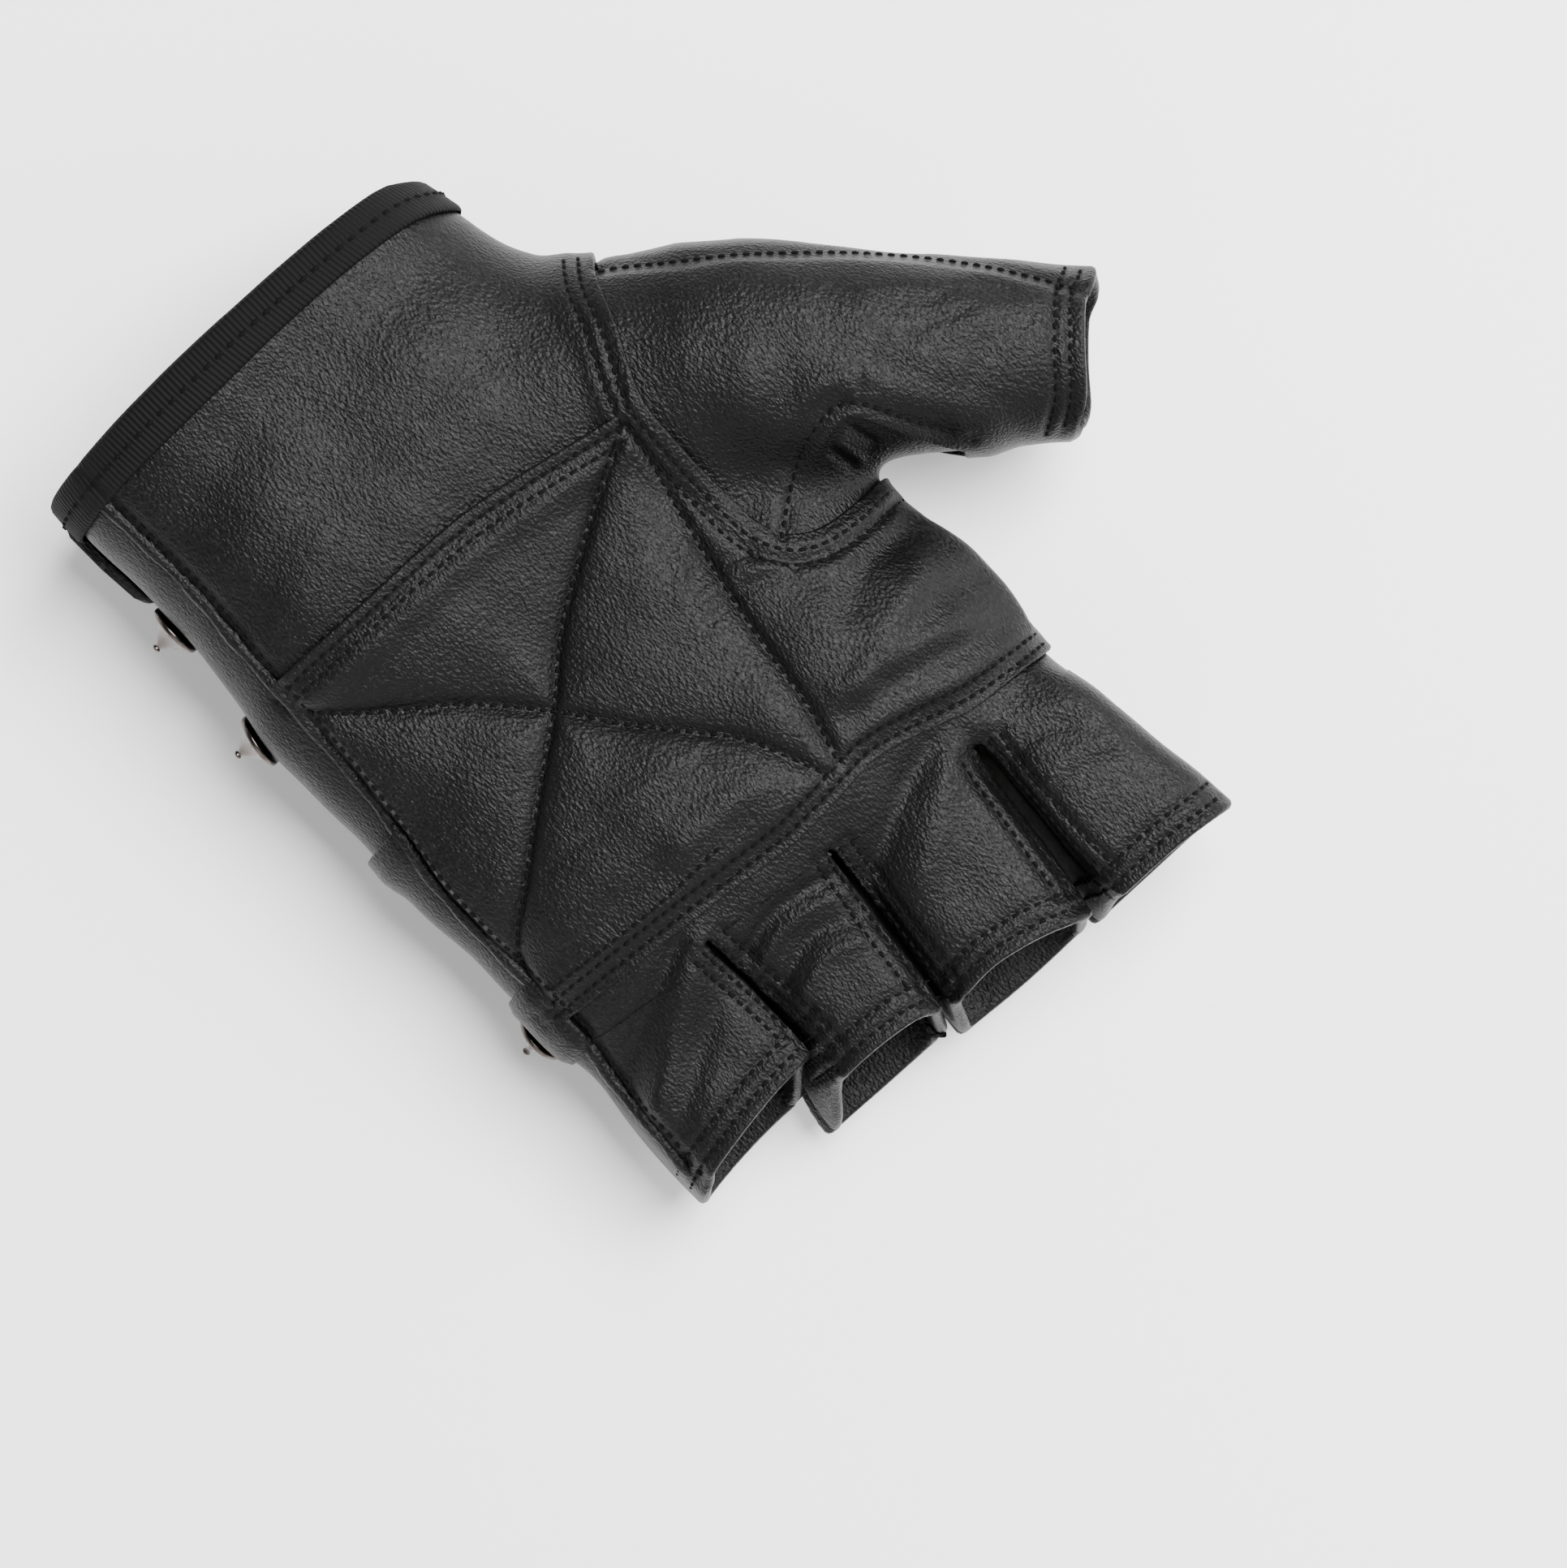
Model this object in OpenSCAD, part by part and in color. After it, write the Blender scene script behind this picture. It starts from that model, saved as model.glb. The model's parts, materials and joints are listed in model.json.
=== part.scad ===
/* [Hand] */
// Width across the palm
palm_w = 88; // [82:1:96]
// Thickness of the palm, palm side to back
palm_t = 35; // [31:1:40]
// Length from the cuff edge to the finger roots
palm_l = 111; // [104:1:118]

/* [Fingers] */
// Length of the index finger stall
index_l = 28; // [20:1:34]
// Length of the middle finger stall
middle_l = 27.5; // [20:1:34]
// Length of the ring finger stall
ring_l = 27; // [20:1:34]
// Length of the little finger stall
little_l = 22; // [16:1:28]
// Length of the thumb stall beyond the crotch
thumb_l = 30; // [22:1:36]

/* [Leather] */
// Thickness of the outer leather
leather = 1.2; // [0.9:0.1:1.3]
// Thickness of the lining cloth
lining = 0.5; // [0.4:0.1:0.6]
// Thickness of the foam in the palm pad
foam = 2.2; // [1.6:0.1:2.3]
// Width of the tape that binds the cuff
binding_w = 6; // [5:0.5:7]

/* [Strap and vent] */
// Width of the opening at the back of the wrist
vent_w = 24; // [18:1:28]
// Width of the wrist strap
strap_w = 17; // [14:1:18]
// Thickness of the wrist strap
strap_t = 1.6; // [1.4:0.1:1.8]

/* [Studs] */
// Diameter of a stud's base
stud_d = 8; // [6:0.5:9]
// Height of a stud above the leather
stud_h = 4.6; // [3.5:0.1:5]

/* [Hidden] */

wide = palm_w / 88;
deep = palm_t / 35;
long = palm_l / 111;

// The glove's own centre on the plane that it rests on, from the hand's axis
CENTRE_X = -18.08 * wide;
CENTRE_Y = 11.5 * long;

// The hand's sections, wrist to finger roots:
// [height along the hand, thumb side, little finger side, palm, back]
SECTIONS = [
    [-61, -27.5, 37.6, 46, 8],
    [-56, -29, 38.6, 45.5, 7.4],
    [-42, -31, 38.6, 43.5, 6.4],
    [-30, -35.5, 39.5, 43.5, 5.6],
    [-18, -39, 42.3, 42.5, 5.2],
    [0, -42, 43, 40, 5],
    [20, -43.3, 43.6, 37.5, 5.2],
    [32, -44.2, 44, 36, 5],
    [42, -44, 44.5, 34.5, 5.4],
    [56, -43, 44, 32.5, 7]
];
function column(c) = [for (s = SECTIONS) [s[0], s[c]]];
THUMB_SIDE = column(1);
LITTLE_SIDE = column(2);
PALM_SIDE = column(3);
BACK_SIDE = column(4);

// A section is a soft-cornered oval: these powers square it up
ROUND_X = 0.85;
ROUND_Z = 0.78;
function soft(v, power) = sign(v) * pow(abs(v), power);

// Point of the hand's outer skin at height y and angle t, set in by depth.
// t is 0 at the little finger's edge, 90 at the palm, 180 at the thumb's edge.
function skin(y, t, depth = 0) =
    let (
        x0 = lookup(y, THUMB_SIDE) * wide + depth,
        x1 = lookup(y, LITTLE_SIDE) * wide - depth,
        z0 = lookup(y, BACK_SIDE) + depth,
        z1 = lookup(y, PALM_SIDE) * deep - depth
    )
    [
        (x0 + x1) / 2 + (x1 - x0) / 2 * soft(cos(t), ROUND_X),
        y * long,
        (z0 + z1) / 2 + (z1 - z0) / 2 * soft(sin(t), ROUND_Z)
    ];

// Outward normal of that skin
function unit(v) = v / norm(v);
function outward(y, t) =
    unit(cross(skin(y + 1, t) - skin(y - 1, t), skin(y, t + 2) - skin(y, t - 2)));

// Seam lines, as heights along the hand for a place x across it
function cuff_edge(x) = -59.8 - x / 32;
function upper_seam(x) = lookup(x, [[-30, -11.5], [-10, -16], [10, -19.5], [36, -21.5]]);
function lower_seam(x) = lookup(x, [[-43, 50.5], [-17, 43.5], [0, 42], [40, 36.8]]);
function finger_roots(x) = lookup(x, [[-46, 55.5], [-26.5, 54], [-1.8, 49], [19, 45.5], [46, 44.5]]);
LAP_SEAM = 4;
BAND_LOW = 32;
BAND_HIGH = 43;
BAND_PROUD = 0.6;

// Seam angles: the side seam's piping, and the radial seam round the thumb hole,
// as [height, angle] on its palm half and on its back half
PIPING_T = 33;
SEAM_T = 200;
PALM_EDGE = [
    [-33, SEAM_T], [-31, 155], [-27, 143], [-12, 128],
    [5, 127], [12, 131], [16, 145], [18.5, 165], [20, SEAM_T]
];
BACK_EDGE = [
    [-33, SEAM_T], [-31, 205], [-25, 212], [-10, 216],
    [5, 216], [14, 211], [18, 205], [20, SEAM_T]
];

// The vent in the wrist's back, a slot with a round top
VENT_X = 4;
VENT_TOP = -38;
function vent_edge(x) =
    abs(x - VENT_X) < vent_w / 2
        ? VENT_TOP - 6 + 6 * sqrt(1 - pow((x - VENT_X) / (vent_w / 2), 2))
        : cuff_edge(x) + binding_w;
VENT_T0 = 253;
VENT_T1 = 287;

// Clearances: between butted pieces in one body, and between bodies that move
SEAM_GAP = 0.15;
JOINT_GAP = 0.6;

function blend(a, b, u) = a + (b - a) * u;
function steps(a, b, n) = [for (i = [0:n]) blend(a, b, i / n)];

// Grid of points over a panel: columns at the angles ts, rows at the edge low(x),
// the heights ys, and the edge high(x). first(y) and last(y) bend the outer columns.
function panel_grid(us, first, last, low, ys, high, depth) =
    let (
        ends = [
            for (u = us)
                let (
                    t0 = blend(first(low(0)), last(low(0)), u),
                    t1 = blend(first(high(0)), last(high(0)), u)
                )
                [low(skin(low(0), t0)[0] / wide), high(skin(high(0), t1)[0] / wide)]
        ]
    )
    [
        for (r = [0:len(ys) + 1]) [
            for (c = [0:len(us) - 1])
                let (y = r == 0 ? ends[c][0] : r > len(ys) ? ends[c][1] : ys[r - 1])
                skin(y, blend(first(y), last(y), us[c]), depth)
        ]
    ];

// Closed shell between two grids of points of the same size
module shell(outer, inner) {
    rows = len(outer);
    cols = len(outer[0]);
    count = rows * cols;
    function at(r, c) = r * cols + c;
    skins = [
        for (r = [0:rows - 2], c = [0:cols - 2])
            each [
                [at(r, c), at(r + 1, c + 1), at(r + 1, c)],
                [at(r, c), at(r, c + 1), at(r + 1, c + 1)],
                [count + at(r, c), count + at(r + 1, c), count + at(r + 1, c + 1)],
                [count + at(r, c), count + at(r + 1, c + 1), count + at(r, c + 1)]
            ]
    ];
    rim = concat(
        [for (c = [0:cols - 2]) [at(0, c), at(0, c + 1)]],
        [for (r = [0:rows - 2]) [at(r, cols - 1), at(r + 1, cols - 1)]],
        [for (c = [cols - 1:-1:1]) [at(rows - 1, c), at(rows - 1, c - 1)]],
        [for (r = [rows - 1:-1:1]) [at(r, 0), at(r - 1, 0)]]
    );
    walls = [
        for (e = rim)
            each [[e[0], count + e[0], count + e[1]], [e[0], count + e[1], e[1]]]
    ];
    translate([-CENTRE_X, -CENTRE_Y, 0])
        polyhedron(points = concat([for (row = outer) each row], [for (row = inner) each row]),
            faces = concat(skins, walls), convexity = 6);
}

module panel(us, first, last, low, ys, high, outer, inner) {
    shell(panel_grid(us, first, last, low, ys, high, outer),
        panel_grid(us, first, last, low, ys, high, inner));
}

palm_first = function(y) PIPING_T + 3.5;
palm_last = function(y) lookup(y, PALM_EDGE);
back_first = function(y) lookup(y, BACK_EDGE) + 0.5;
back_last = function(y) 360 + PIPING_T - 1;

module black_leather() {
    color([0.09, 0.09, 0.095]) children();
}

module dark_cloth() {
    color([0.05, 0.05, 0.05]) children();
}

module nickel() {
    color([0.75, 0.74, 0.72]) children();
}

module heel_panel() {
    black_leather()
        panel(steps(0, 1, 12), palm_first, palm_last,
            function(x) cuff_edge(x) + binding_w + SEAM_GAP, [-45, -36, -33, -31, -27, -24],
            function(x) upper_seam(x) - SEAM_GAP, 0, leather);
}

module palm_pad_cover() {
    black_leather()
        panel(steps(0, 1, 12), palm_first, palm_last,
            function(x) upper_seam(x), [-10, 5, 12, 16, 18.5, 20, 28, 35],
            function(x) lower_seam(x) - SEAM_GAP, 0, leather);
}

// The foam lies under the pad's cover and stops short of its seams
module palm_pad_foam() {
    color([0.25, 0.25, 0.24])
        panel(steps(0.05, 0.93, 10), palm_first, palm_last,
            function(x) upper_seam(x) + 3, [-8, 5, 12, 16, 18.5, 20, 28],
            function(x) lower_seam(x) - 4, leather + SEAM_GAP, leather + SEAM_GAP + foam);
}

module finger_root_panel() {
    black_leather()
        panel(steps(0, 1, 16), palm_first, palm_last,
            function(x) lower_seam(x), [], function(x) finger_roots(x) - JOINT_GAP / 2, 0, leather);
}

// The welt in the seam along the little finger's side
PIPING_PROUD = 0.6;
module side_piping() {
    black_leather()
        panel([0, 1], function(y) PIPING_T + 0.3, function(y) PIPING_T + 3.2,
            function(x) cuff_edge(x) + binding_w + SEAM_GAP, [-40, -25, -10, 5, 20, 32],
            function(x) finger_roots(x) - JOINT_GAP, -PIPING_PROUD, leather);
}

// Columns of the back panels, with one each side of the vent's upright edges
function vent_columns() =
    let (
        a = back_first(VENT_TOP),
        b = back_last(VENT_TOP),
        thumb_part = steps(a, VENT_T0 - 1, 5),
        vent_part = steps(VENT_T0 + 0.6, VENT_T1 - 0.6, 6),
        little_part = steps(VENT_T1 + 1, b, 8)
    )
    [for (t = concat(thumb_part, vent_part, little_part)) (t - a) / (b - a)];

module back_panel() {
    black_leather()
        panel(vent_columns(), back_first, back_last,
            function(x) vent_edge(x) + (abs(x - VENT_X) < vent_w / 2 ? 3 : SEAM_GAP),
            [-34, -33, -31, -25, -18, -10], function(x) LAP_SEAM - SEAM_GAP, 0, leather);
}

module mid_back_panel() {
    black_leather()
        panel(steps(0, 1, 16), back_first, back_last,
            function(x) LAP_SEAM, [9, 14, 18, 20, 26], function(x) BAND_LOW - SEAM_GAP, 0, leather);
}

// The stud band over the knuckles is a thicker strip than the panels beside it
module knuckle_band() {
    black_leather()
        panel(steps(0, 1, 16), back_first, back_last,
            function(x) BAND_LOW, [], function(x) BAND_HIGH, -BAND_PROUD, leather);
}

module upper_back_panel() {
    black_leather()
        panel(steps(0, 1, 16), back_first, back_last,
            function(x) BAND_HIGH + SEAM_GAP, [], function(x) finger_roots(x) - JOINT_GAP / 2, 0, leather);
}

palm_lining_depth = leather + foam + 2 * SEAM_GAP;
module palm_lining() {
    dark_cloth()
        panel(steps(0.02, 0.97, 12), palm_first, palm_last,
            function(x) cuff_edge(x) + binding_w + SEAM_GAP,
            [-45, -36, -33, -31, -27, -12, 5, 12, 16, 18.5, 20, 28],
            function(x) finger_roots(x) - 2, palm_lining_depth, palm_lining_depth + lining);
}

back_lining_depth = leather + SEAM_GAP;
module back_lining() {
    dark_cloth()
        panel([for (u = vent_columns()) 0.03 + 0.94 * u], back_first, back_last,
            function(x) vent_edge(x) + (abs(x - VENT_X) < vent_w / 2 + 2 ? 3.4 : SEAM_GAP),
            [-33, -31, -25, -10, 5, 14, 18, 20, 32],
            function(x) finger_roots(x) - 2, back_lining_depth, back_lining_depth + lining);
}

// Tape folded over the raw edge of the cuff, from one side of the vent to the other:
// how far it stands out of the leather, and how far it lies behind the lining
TAPE_PROUD = 0.7;
TAPE_BEHIND = 0.8;
module cuff_binding() {
    dark_cloth()
        panel(steps(0, 1, 24), function(y) VENT_T1 - 360 + 2, function(y) VENT_T0 - 2,
            function(x) cuff_edge(x), [], function(x) cuff_edge(x) + binding_w,
            -TAPE_PROUD, leather + lining + TAPE_BEHIND);
}

// The same tape round the vent, curved with the wrist's back
VENT_TAPE_W = 2.6;
VENT_TAPE_IN = 1.9;
BACK_CURVE = 0.012;
module vent_binding() {
    half = vent_w / 2 + 1;
    rise = [[-half, -60], [-half, -44], [-half * 0.8, -40.4], [-half * 0.4, -38], [0, -37.2]];
    path = concat(rise, [for (i = [3:-1:0]) [-rise[i][0], rise[i][1]]]);
    inside = [
        for (p = path)
            [p[0] * (half - VENT_TAPE_W) / half, p[1] - (p[1] > -50 ? VENT_TAPE_W - 0.2 : 0)]
    ];
    function lay(p, depth) =
        let (x = VENT_X + p[0], y = p[1])
        [x * wide, y * long, lookup(y, BACK_SIDE) + depth + BACK_CURVE * p[0] * p[0]];
    function strip(depth) = [[for (p = path) lay(p, depth)], [for (p = inside) lay(p, depth)]];
    dark_cloth() shell(strip(VENT_TAPE_IN), strip(-TAPE_PROUD));
}

// Wrist strap: it runs round the back of the cuff, outside the leather and the tape
STRAP_LOW = -60.3;
STRAP_LIFT = 1.35;
STRAP_ROOT_T = 246;
STRAP_END_T = 348;

module strap() {
    color([0.1, 0.1, 0.1])
        panel(steps(0, 1, 14), function(y) STRAP_ROOT_T + 2, function(y) STRAP_END_T,
            function(x) STRAP_LOW, [], function(x) STRAP_LOW + strap_w,
            -STRAP_LIFT - strap_t, -STRAP_LIFT);
}

// The strap's sewn end on the thumb side of the vent
module strap_root() {
    color([0.1, 0.1, 0.1])
        panel(steps(0, 1, 3), function(y) STRAP_ROOT_T - 14, function(y) STRAP_ROOT_T,
            function(x) STRAP_LOW, [], function(x) STRAP_LOW + strap_w,
            -STRAP_LIFT - strap_t, -STRAP_LIFT + 0.1);
}

// Hook and loop patches: one under the strap's free end, one on the glove
PATCH_T = 0.25;
module hook_patch() {
    dark_cloth()
        panel(steps(0, 1, 5), function(y) 300, function(y) STRAP_END_T - 2,
            function(x) STRAP_LOW + 8, [], function(x) STRAP_LOW + strap_w - 1.5,
            -STRAP_LIFT + 0.4, -STRAP_LIFT + 0.4 + PATCH_T);
}

module loop_patch() {
    dark_cloth()
        panel(steps(0, 1, 5), function(y) 298, function(y) STRAP_END_T + 2,
            function(x) cuff_edge(x) + binding_w + 1, [], function(x) STRAP_LOW + strap_w,
            -0.2 - PATCH_T, -0.2);
}

// One cone stud: bevelled rim, hollow-sided cone, ball tip and the post through the leather
POST_D = 2.2;
POST_L = 4;
RIM_H = 0.75;
BALL_R = 0.55;
module stud() {
    r = stud_d / 2;
    flank = [
        for (u = [0:0.2:1])
            [r * (0.12 + 0.76 * pow(1 - u, 1.35)), RIM_H + (stud_h - RIM_H - 0.9) * u]
    ];
    ball = [for (a = [-50:20:90]) [BALL_R * cos(a), stud_h - BALL_R + BALL_R * sin(a)]];
    post = [[0, -POST_L], [POST_D / 2, -POST_L], [POST_D / 2, 0], [r, 0], [r, 0.35]];
    rotate_extrude($fn = 32) polygon(concat(post, flank, ball, [[0, stud_h]]));
}

module on_back(places) {
    for (p = places) {
        n = outward(p[0], p[1]);
        translate(skin(p[0], p[1], p[2]) - [CENTRE_X, CENTRE_Y, 0])
            rotate([0, acos(n[2]), atan2(n[1], n[0])]) children();
    }
}

// Studs, as [height along the hand, angle, depth of their seat]
SEAT = -0.02;
BACK_STUDS = [
    for (t = [213, 235, 306, 329, 358]) [-38, t, SEAT],
    for (t = [232, 262, 290, 322, 357]) [-19, t, SEAT]
];
KNUCKLE_STUDS = [
    for (t = [220, 246, 270, 294, 320, 348]) [(BAND_LOW + BAND_HIGH) / 2 + 0.5, t, SEAT - BAND_PROUD]
];

module back_studs() {
    nickel() on_back(BACK_STUDS) stud();
}

module knuckle_studs() {
    nickel() on_back(KNUCKLE_STUDS) stud();
}

// Washers inside the glove that hold the posts, their tops the given depth below the stud's seat
WASHER_T = 0.6;
WASHER_D = 6;
POST_PLAY = 0.16;
module washer(depth) {
    translate([0, 0, -depth - WASHER_T])
        difference() {
            cylinder(d = WASHER_D, h = WASHER_T, $fn = 24);
            translate([0, 0, -1]) cylinder(d = POST_D + POST_PLAY, h = WASHER_T + 2, $fn = 24);
        }
}

module stud_washers() {
    clear = leather + lining + 2 * SEAM_GAP + 0.3;
    nickel() {
        on_back(BACK_STUDS) washer(clear);
        on_back(KNUCKLE_STUDS) washer(clear + BAND_PROUD);
    }
}

// Finger stalls: [root thumb side x, root little side x, hem thumb side x, hem little side x,
// hem height on the thumb side, on the little side, length, palm at root, palm at hem, back at hem]
INDEX = [-43.2, -27.2, -44.6, -23.4, 83, 81.6, index_l / 28, 32, 30.5, 8];
MIDDLE = [-25.8, -2.6, -21.2, 2.6, 80, 77.4, middle_l / 27.5, 32.5, 31, 8];
RING = [-1.2, 18.4, 4.2, 23.4, 75.5, 73, ring_l / 27, 32.2, 31, 8.6];
LITTLE = [19.8, 43.8, 24.6, 46, 67, 69, little_l / 22, 31.5, 30, 9.4];
STALL_BACK = 7.4;
LEAN = 1.2;

// Point of a stall's skin, u from root to hem
function stall_point(f, u, t, depth) =
    let (
        x0 = blend(f[0], f[2], u) * wide + depth,
        x1 = blend(f[1], f[3], u) * wide - depth,
        across = soft(cos(t), ROUND_X),
        x = (x0 + x1) / 2 + (x1 - x0) / 2 * across - LEAN * sin(t),
        z0 = blend(STALL_BACK, f[9], u) + depth,
        z1 = blend(f[7], f[8], u) * deep - depth,
        root = finger_roots(x / wide) + JOINT_GAP / 2,
        hem = blend(f[4], f[5], (across + 1) / 2) - 1.5 * sin(t)
    )
    [
        x,
        blend(root, root + (hem - root) * f[6], u) * long,
        (z0 + z1) / 2 + (z1 - z0) / 2 * soft(sin(t), ROUND_Z)
    ];
function stall_grid(f, t0, t1, n, depth) =
    [for (u = [0, 0.5, 1]) [for (t = steps(t0, t1, n)) stall_point(f, u, t, depth)]];
module stall_piece(f, t0, t1, n) {
    black_leather() shell(stall_grid(f, t0, t1, n, 0), stall_grid(f, t0, t1, n, leather));
}

module index_front() {
    stall_piece(INDEX, 26, 188, 10);
}

module index_back() {
    stall_piece(INDEX, 190, 334, 9);
}

module index_fourchette() {
    stall_piece(INDEX, -25, 25, 3);
}

module middle_front() {
    stall_piece(MIDDLE, 26, 154, 8);
}

module middle_back() {
    stall_piece(MIDDLE, 206, 334, 8);
}

module middle_fourchettes() {
    stall_piece(MIDDLE, -25, 25, 3);
    stall_piece(MIDDLE, 155, 205, 3);
}

module ring_front() {
    stall_piece(RING, 26, 154, 8);
}

module ring_back() {
    stall_piece(RING, 206, 334, 8);
}

module ring_fourchettes() {
    stall_piece(RING, -25, 25, 3);
    stall_piece(RING, 155, 205, 3);
}

module little_front() {
    stall_piece(LITTLE, 34, 154, 8);
}

module little_back() {
    stall_piece(LITTLE, 206, 393, 11);
}

module little_fourchette() {
    stall_piece(LITTLE, 155, 205, 3);
}

// The thumb: a tube from the thumb hole's edge, k counts round it from the wrist side
// over the palm side, in 24 steps
THUMB_ROOT = [-55.2, 3.3, 26];
THUMB_DIR = unit([-0.67, 0.743, 0]);
THUMB_OUT = [-THUMB_DIR[1], THUMB_DIR[0], 0];
HOLE_MID = -6.8;
HOLE_HALF = 24.8;
MOUTH_W = 13.6;
MOUTH_T = 14;
END_R = 12.3;
function hole_edge(k, depth) =
    let (y = HOLE_MID - HOLE_HALF * cos(15 * k), palm = sin(15 * k) >= 0)
    skin(y, palm ? lookup(y, PALM_EDGE) + 1.5 : lookup(y, BACK_EDGE) - 1.5, depth);
function thumb_ring(k, along, half_w, half_t, depth) =
    let (c = THUMB_ROOT + THUMB_DIR * along)
    [c[0] * wide, c[1] * long, c[2] * deep]
        + THUMB_OUT * (half_w - depth) * soft(cos(15 * k), 0.9)
        + [0, 0, (half_t - depth) * soft(sin(15 * k), 0.9)];
function thumb_base_grid(k0, k1, depth) =
    [
        for (u = [0, 0.35, 0.7, 1])
            [
                for (k = [k0:k1])
                    let (mouth = thumb_ring(k, -JOINT_GAP / 2, MOUTH_W, MOUTH_T, depth))
                    blend(hole_edge(k, depth), mouth, u)
            ]
    ];
function thumb_grid(k0, k1, depth) =
    [
        for (u = [0, 0.5, 1])
            [
                for (k = [k0:k1])
                    let (w = blend(MOUTH_W, END_R, u), t = blend(MOUTH_T, END_R, u))
                    thumb_ring(k, blend(JOINT_GAP / 2, thumb_l, u), w, t, depth)
            ]
    ];
module thumb_base_piece(k0, k1) {
    black_leather() shell(thumb_base_grid(k0, k1, leather), thumb_base_grid(k0, k1, 0));
}

module thumb_piece(k0, k1) {
    black_leather() shell(thumb_grid(k0, k1, leather), thumb_grid(k0, k1, 0));
}

module thumb_base_front() {
    thumb_base_piece(1, 10);
}

module thumb_gusset() {
    thumb_base_piece(10, 14);
}

module thumb_base_back() {
    thumb_base_piece(14, 25);
}

module thumb_front() {
    thumb_piece(1, 13);
}

module thumb_back() {
    thumb_piece(13, 25);
}

heel_panel();
palm_pad_cover();
palm_pad_foam();
finger_root_panel();
thumb_base_front();
thumb_base_back();
thumb_gusset();
side_piping();
back_panel();
mid_back_panel();
knuckle_band();
upper_back_panel();
palm_lining();
back_lining();
cuff_binding();
vent_binding();
loop_patch();
strap_root();
back_studs();
knuckle_studs();
stud_washers();
strap();
hook_patch();
index_front();
index_back();
index_fourchette();
middle_front();
middle_back();
middle_fourchettes();
ring_front();
ring_back();
ring_fourchettes();
little_front();
little_back();
little_fourchette();
thumb_front();
thumb_back();
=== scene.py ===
import json
import math

import bpy
import numpy as np
from mathutils import Matrix, Vector
from mathutils.bvhtree import BVHTree


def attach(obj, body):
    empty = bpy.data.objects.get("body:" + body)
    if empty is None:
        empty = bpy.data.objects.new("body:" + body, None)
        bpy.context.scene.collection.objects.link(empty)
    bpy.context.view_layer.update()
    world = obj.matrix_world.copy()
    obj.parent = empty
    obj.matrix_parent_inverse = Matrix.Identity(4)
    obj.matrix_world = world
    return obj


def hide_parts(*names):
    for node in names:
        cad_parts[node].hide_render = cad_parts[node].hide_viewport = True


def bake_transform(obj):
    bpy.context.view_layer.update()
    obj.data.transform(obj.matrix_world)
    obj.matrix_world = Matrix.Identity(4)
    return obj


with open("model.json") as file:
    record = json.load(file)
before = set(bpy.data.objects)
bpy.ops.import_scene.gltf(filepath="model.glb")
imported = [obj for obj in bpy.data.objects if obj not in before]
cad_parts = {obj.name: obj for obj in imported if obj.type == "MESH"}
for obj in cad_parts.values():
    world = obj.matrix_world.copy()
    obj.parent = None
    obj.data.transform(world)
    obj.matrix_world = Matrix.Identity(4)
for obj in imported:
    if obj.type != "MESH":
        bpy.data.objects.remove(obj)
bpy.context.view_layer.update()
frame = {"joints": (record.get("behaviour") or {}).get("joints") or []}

# ------------------------------------------------------------------------------------------
# Where the glove lies. The patterns are drawn in millimetres from the hand's own axis, x
# towards the little finger, y towards the fingertips and z out of the palm; the middle
# finger's hinge in the frame ties that drawing to the model.
middle_hinge = next(j for j in frame["joints"] if j["name"] == "middle_bend")
AXIS = np.array([middle_hinge["pos_m"][0] * 1000 + 14.2, middle_hinge["pos_m"][1] * 1000 - 51.5, 0.0])


def metres(points):
    """Points in the pattern's millimetres, as points in the frame in metres."""
    return (np.asarray(points, float) + AXIS) / 1000


# ------------------------------------------------------------------------------------------
# Camera: straight above the palm, turned so that the fingers point down to the right.
camera = bpy.data.objects.new("camera", bpy.data.cameras.new("camera"))
bpy.context.scene.collection.objects.link(camera)
bpy.context.scene.camera = camera
tilt = math.radians(44)
view_width, view_height = 217.2, 750.0
camera.data.lens = camera.data.sensor_width * view_height / view_width
eye = metres([-4.1, 37.6, 26.0 + view_height])
camera.matrix_world = Matrix(
    (
        (-math.sin(tilt), -math.cos(tilt), 0, eye[0]),
        (math.cos(tilt), -math.sin(tilt), 0, eye[1]),
        (0, 0, 1, eye[2]),
        (0, 0, 0, 1),
    )
)

# ------------------------------------------------------------------------------------------
# The table: a plain pale floor under the glove, and soft studio light from three panels.
floor_mesh = bpy.data.meshes.new("floor")
floor_mesh.from_pydata([(-4, -4, 0), (4, -4, 0), (4, 4, 0), (-4, 4, 0)], [], [(0, 1, 2, 3)])
floor = bpy.data.objects.new("floor", floor_mesh)
bpy.context.scene.collection.objects.link(floor)
paper = bpy.data.materials.new("pale_paper")
paper.use_nodes = True
paper_shader = paper.node_tree.nodes["Principled BSDF"]
paper_shader.inputs["Base Color"].default_value = (0.95, 0.95, 0.95, 1)
paper_shader.inputs["Roughness"].default_value = 0.9
floor_mesh.materials.append(paper)

for name, place, size, power in (
    ("key_light", (-0.42, 0.02, 0.95), 0.6, 38),
    ("fill_light", (0.85, 0.60, 0.85), 1.2, 8),
    ("side_light", (-0.8, 0.75, 0.5), 0.7, 12),
):
    lamp = bpy.data.lights.new(name, "AREA")
    lamp.energy, lamp.size = power, size
    light = bpy.data.objects.new(name, lamp)
    bpy.context.scene.collection.objects.link(light)
    light.location = place
    light.rotation_euler = (-Vector(place)).to_track_quat("-Z", "Y").to_euler()

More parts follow.
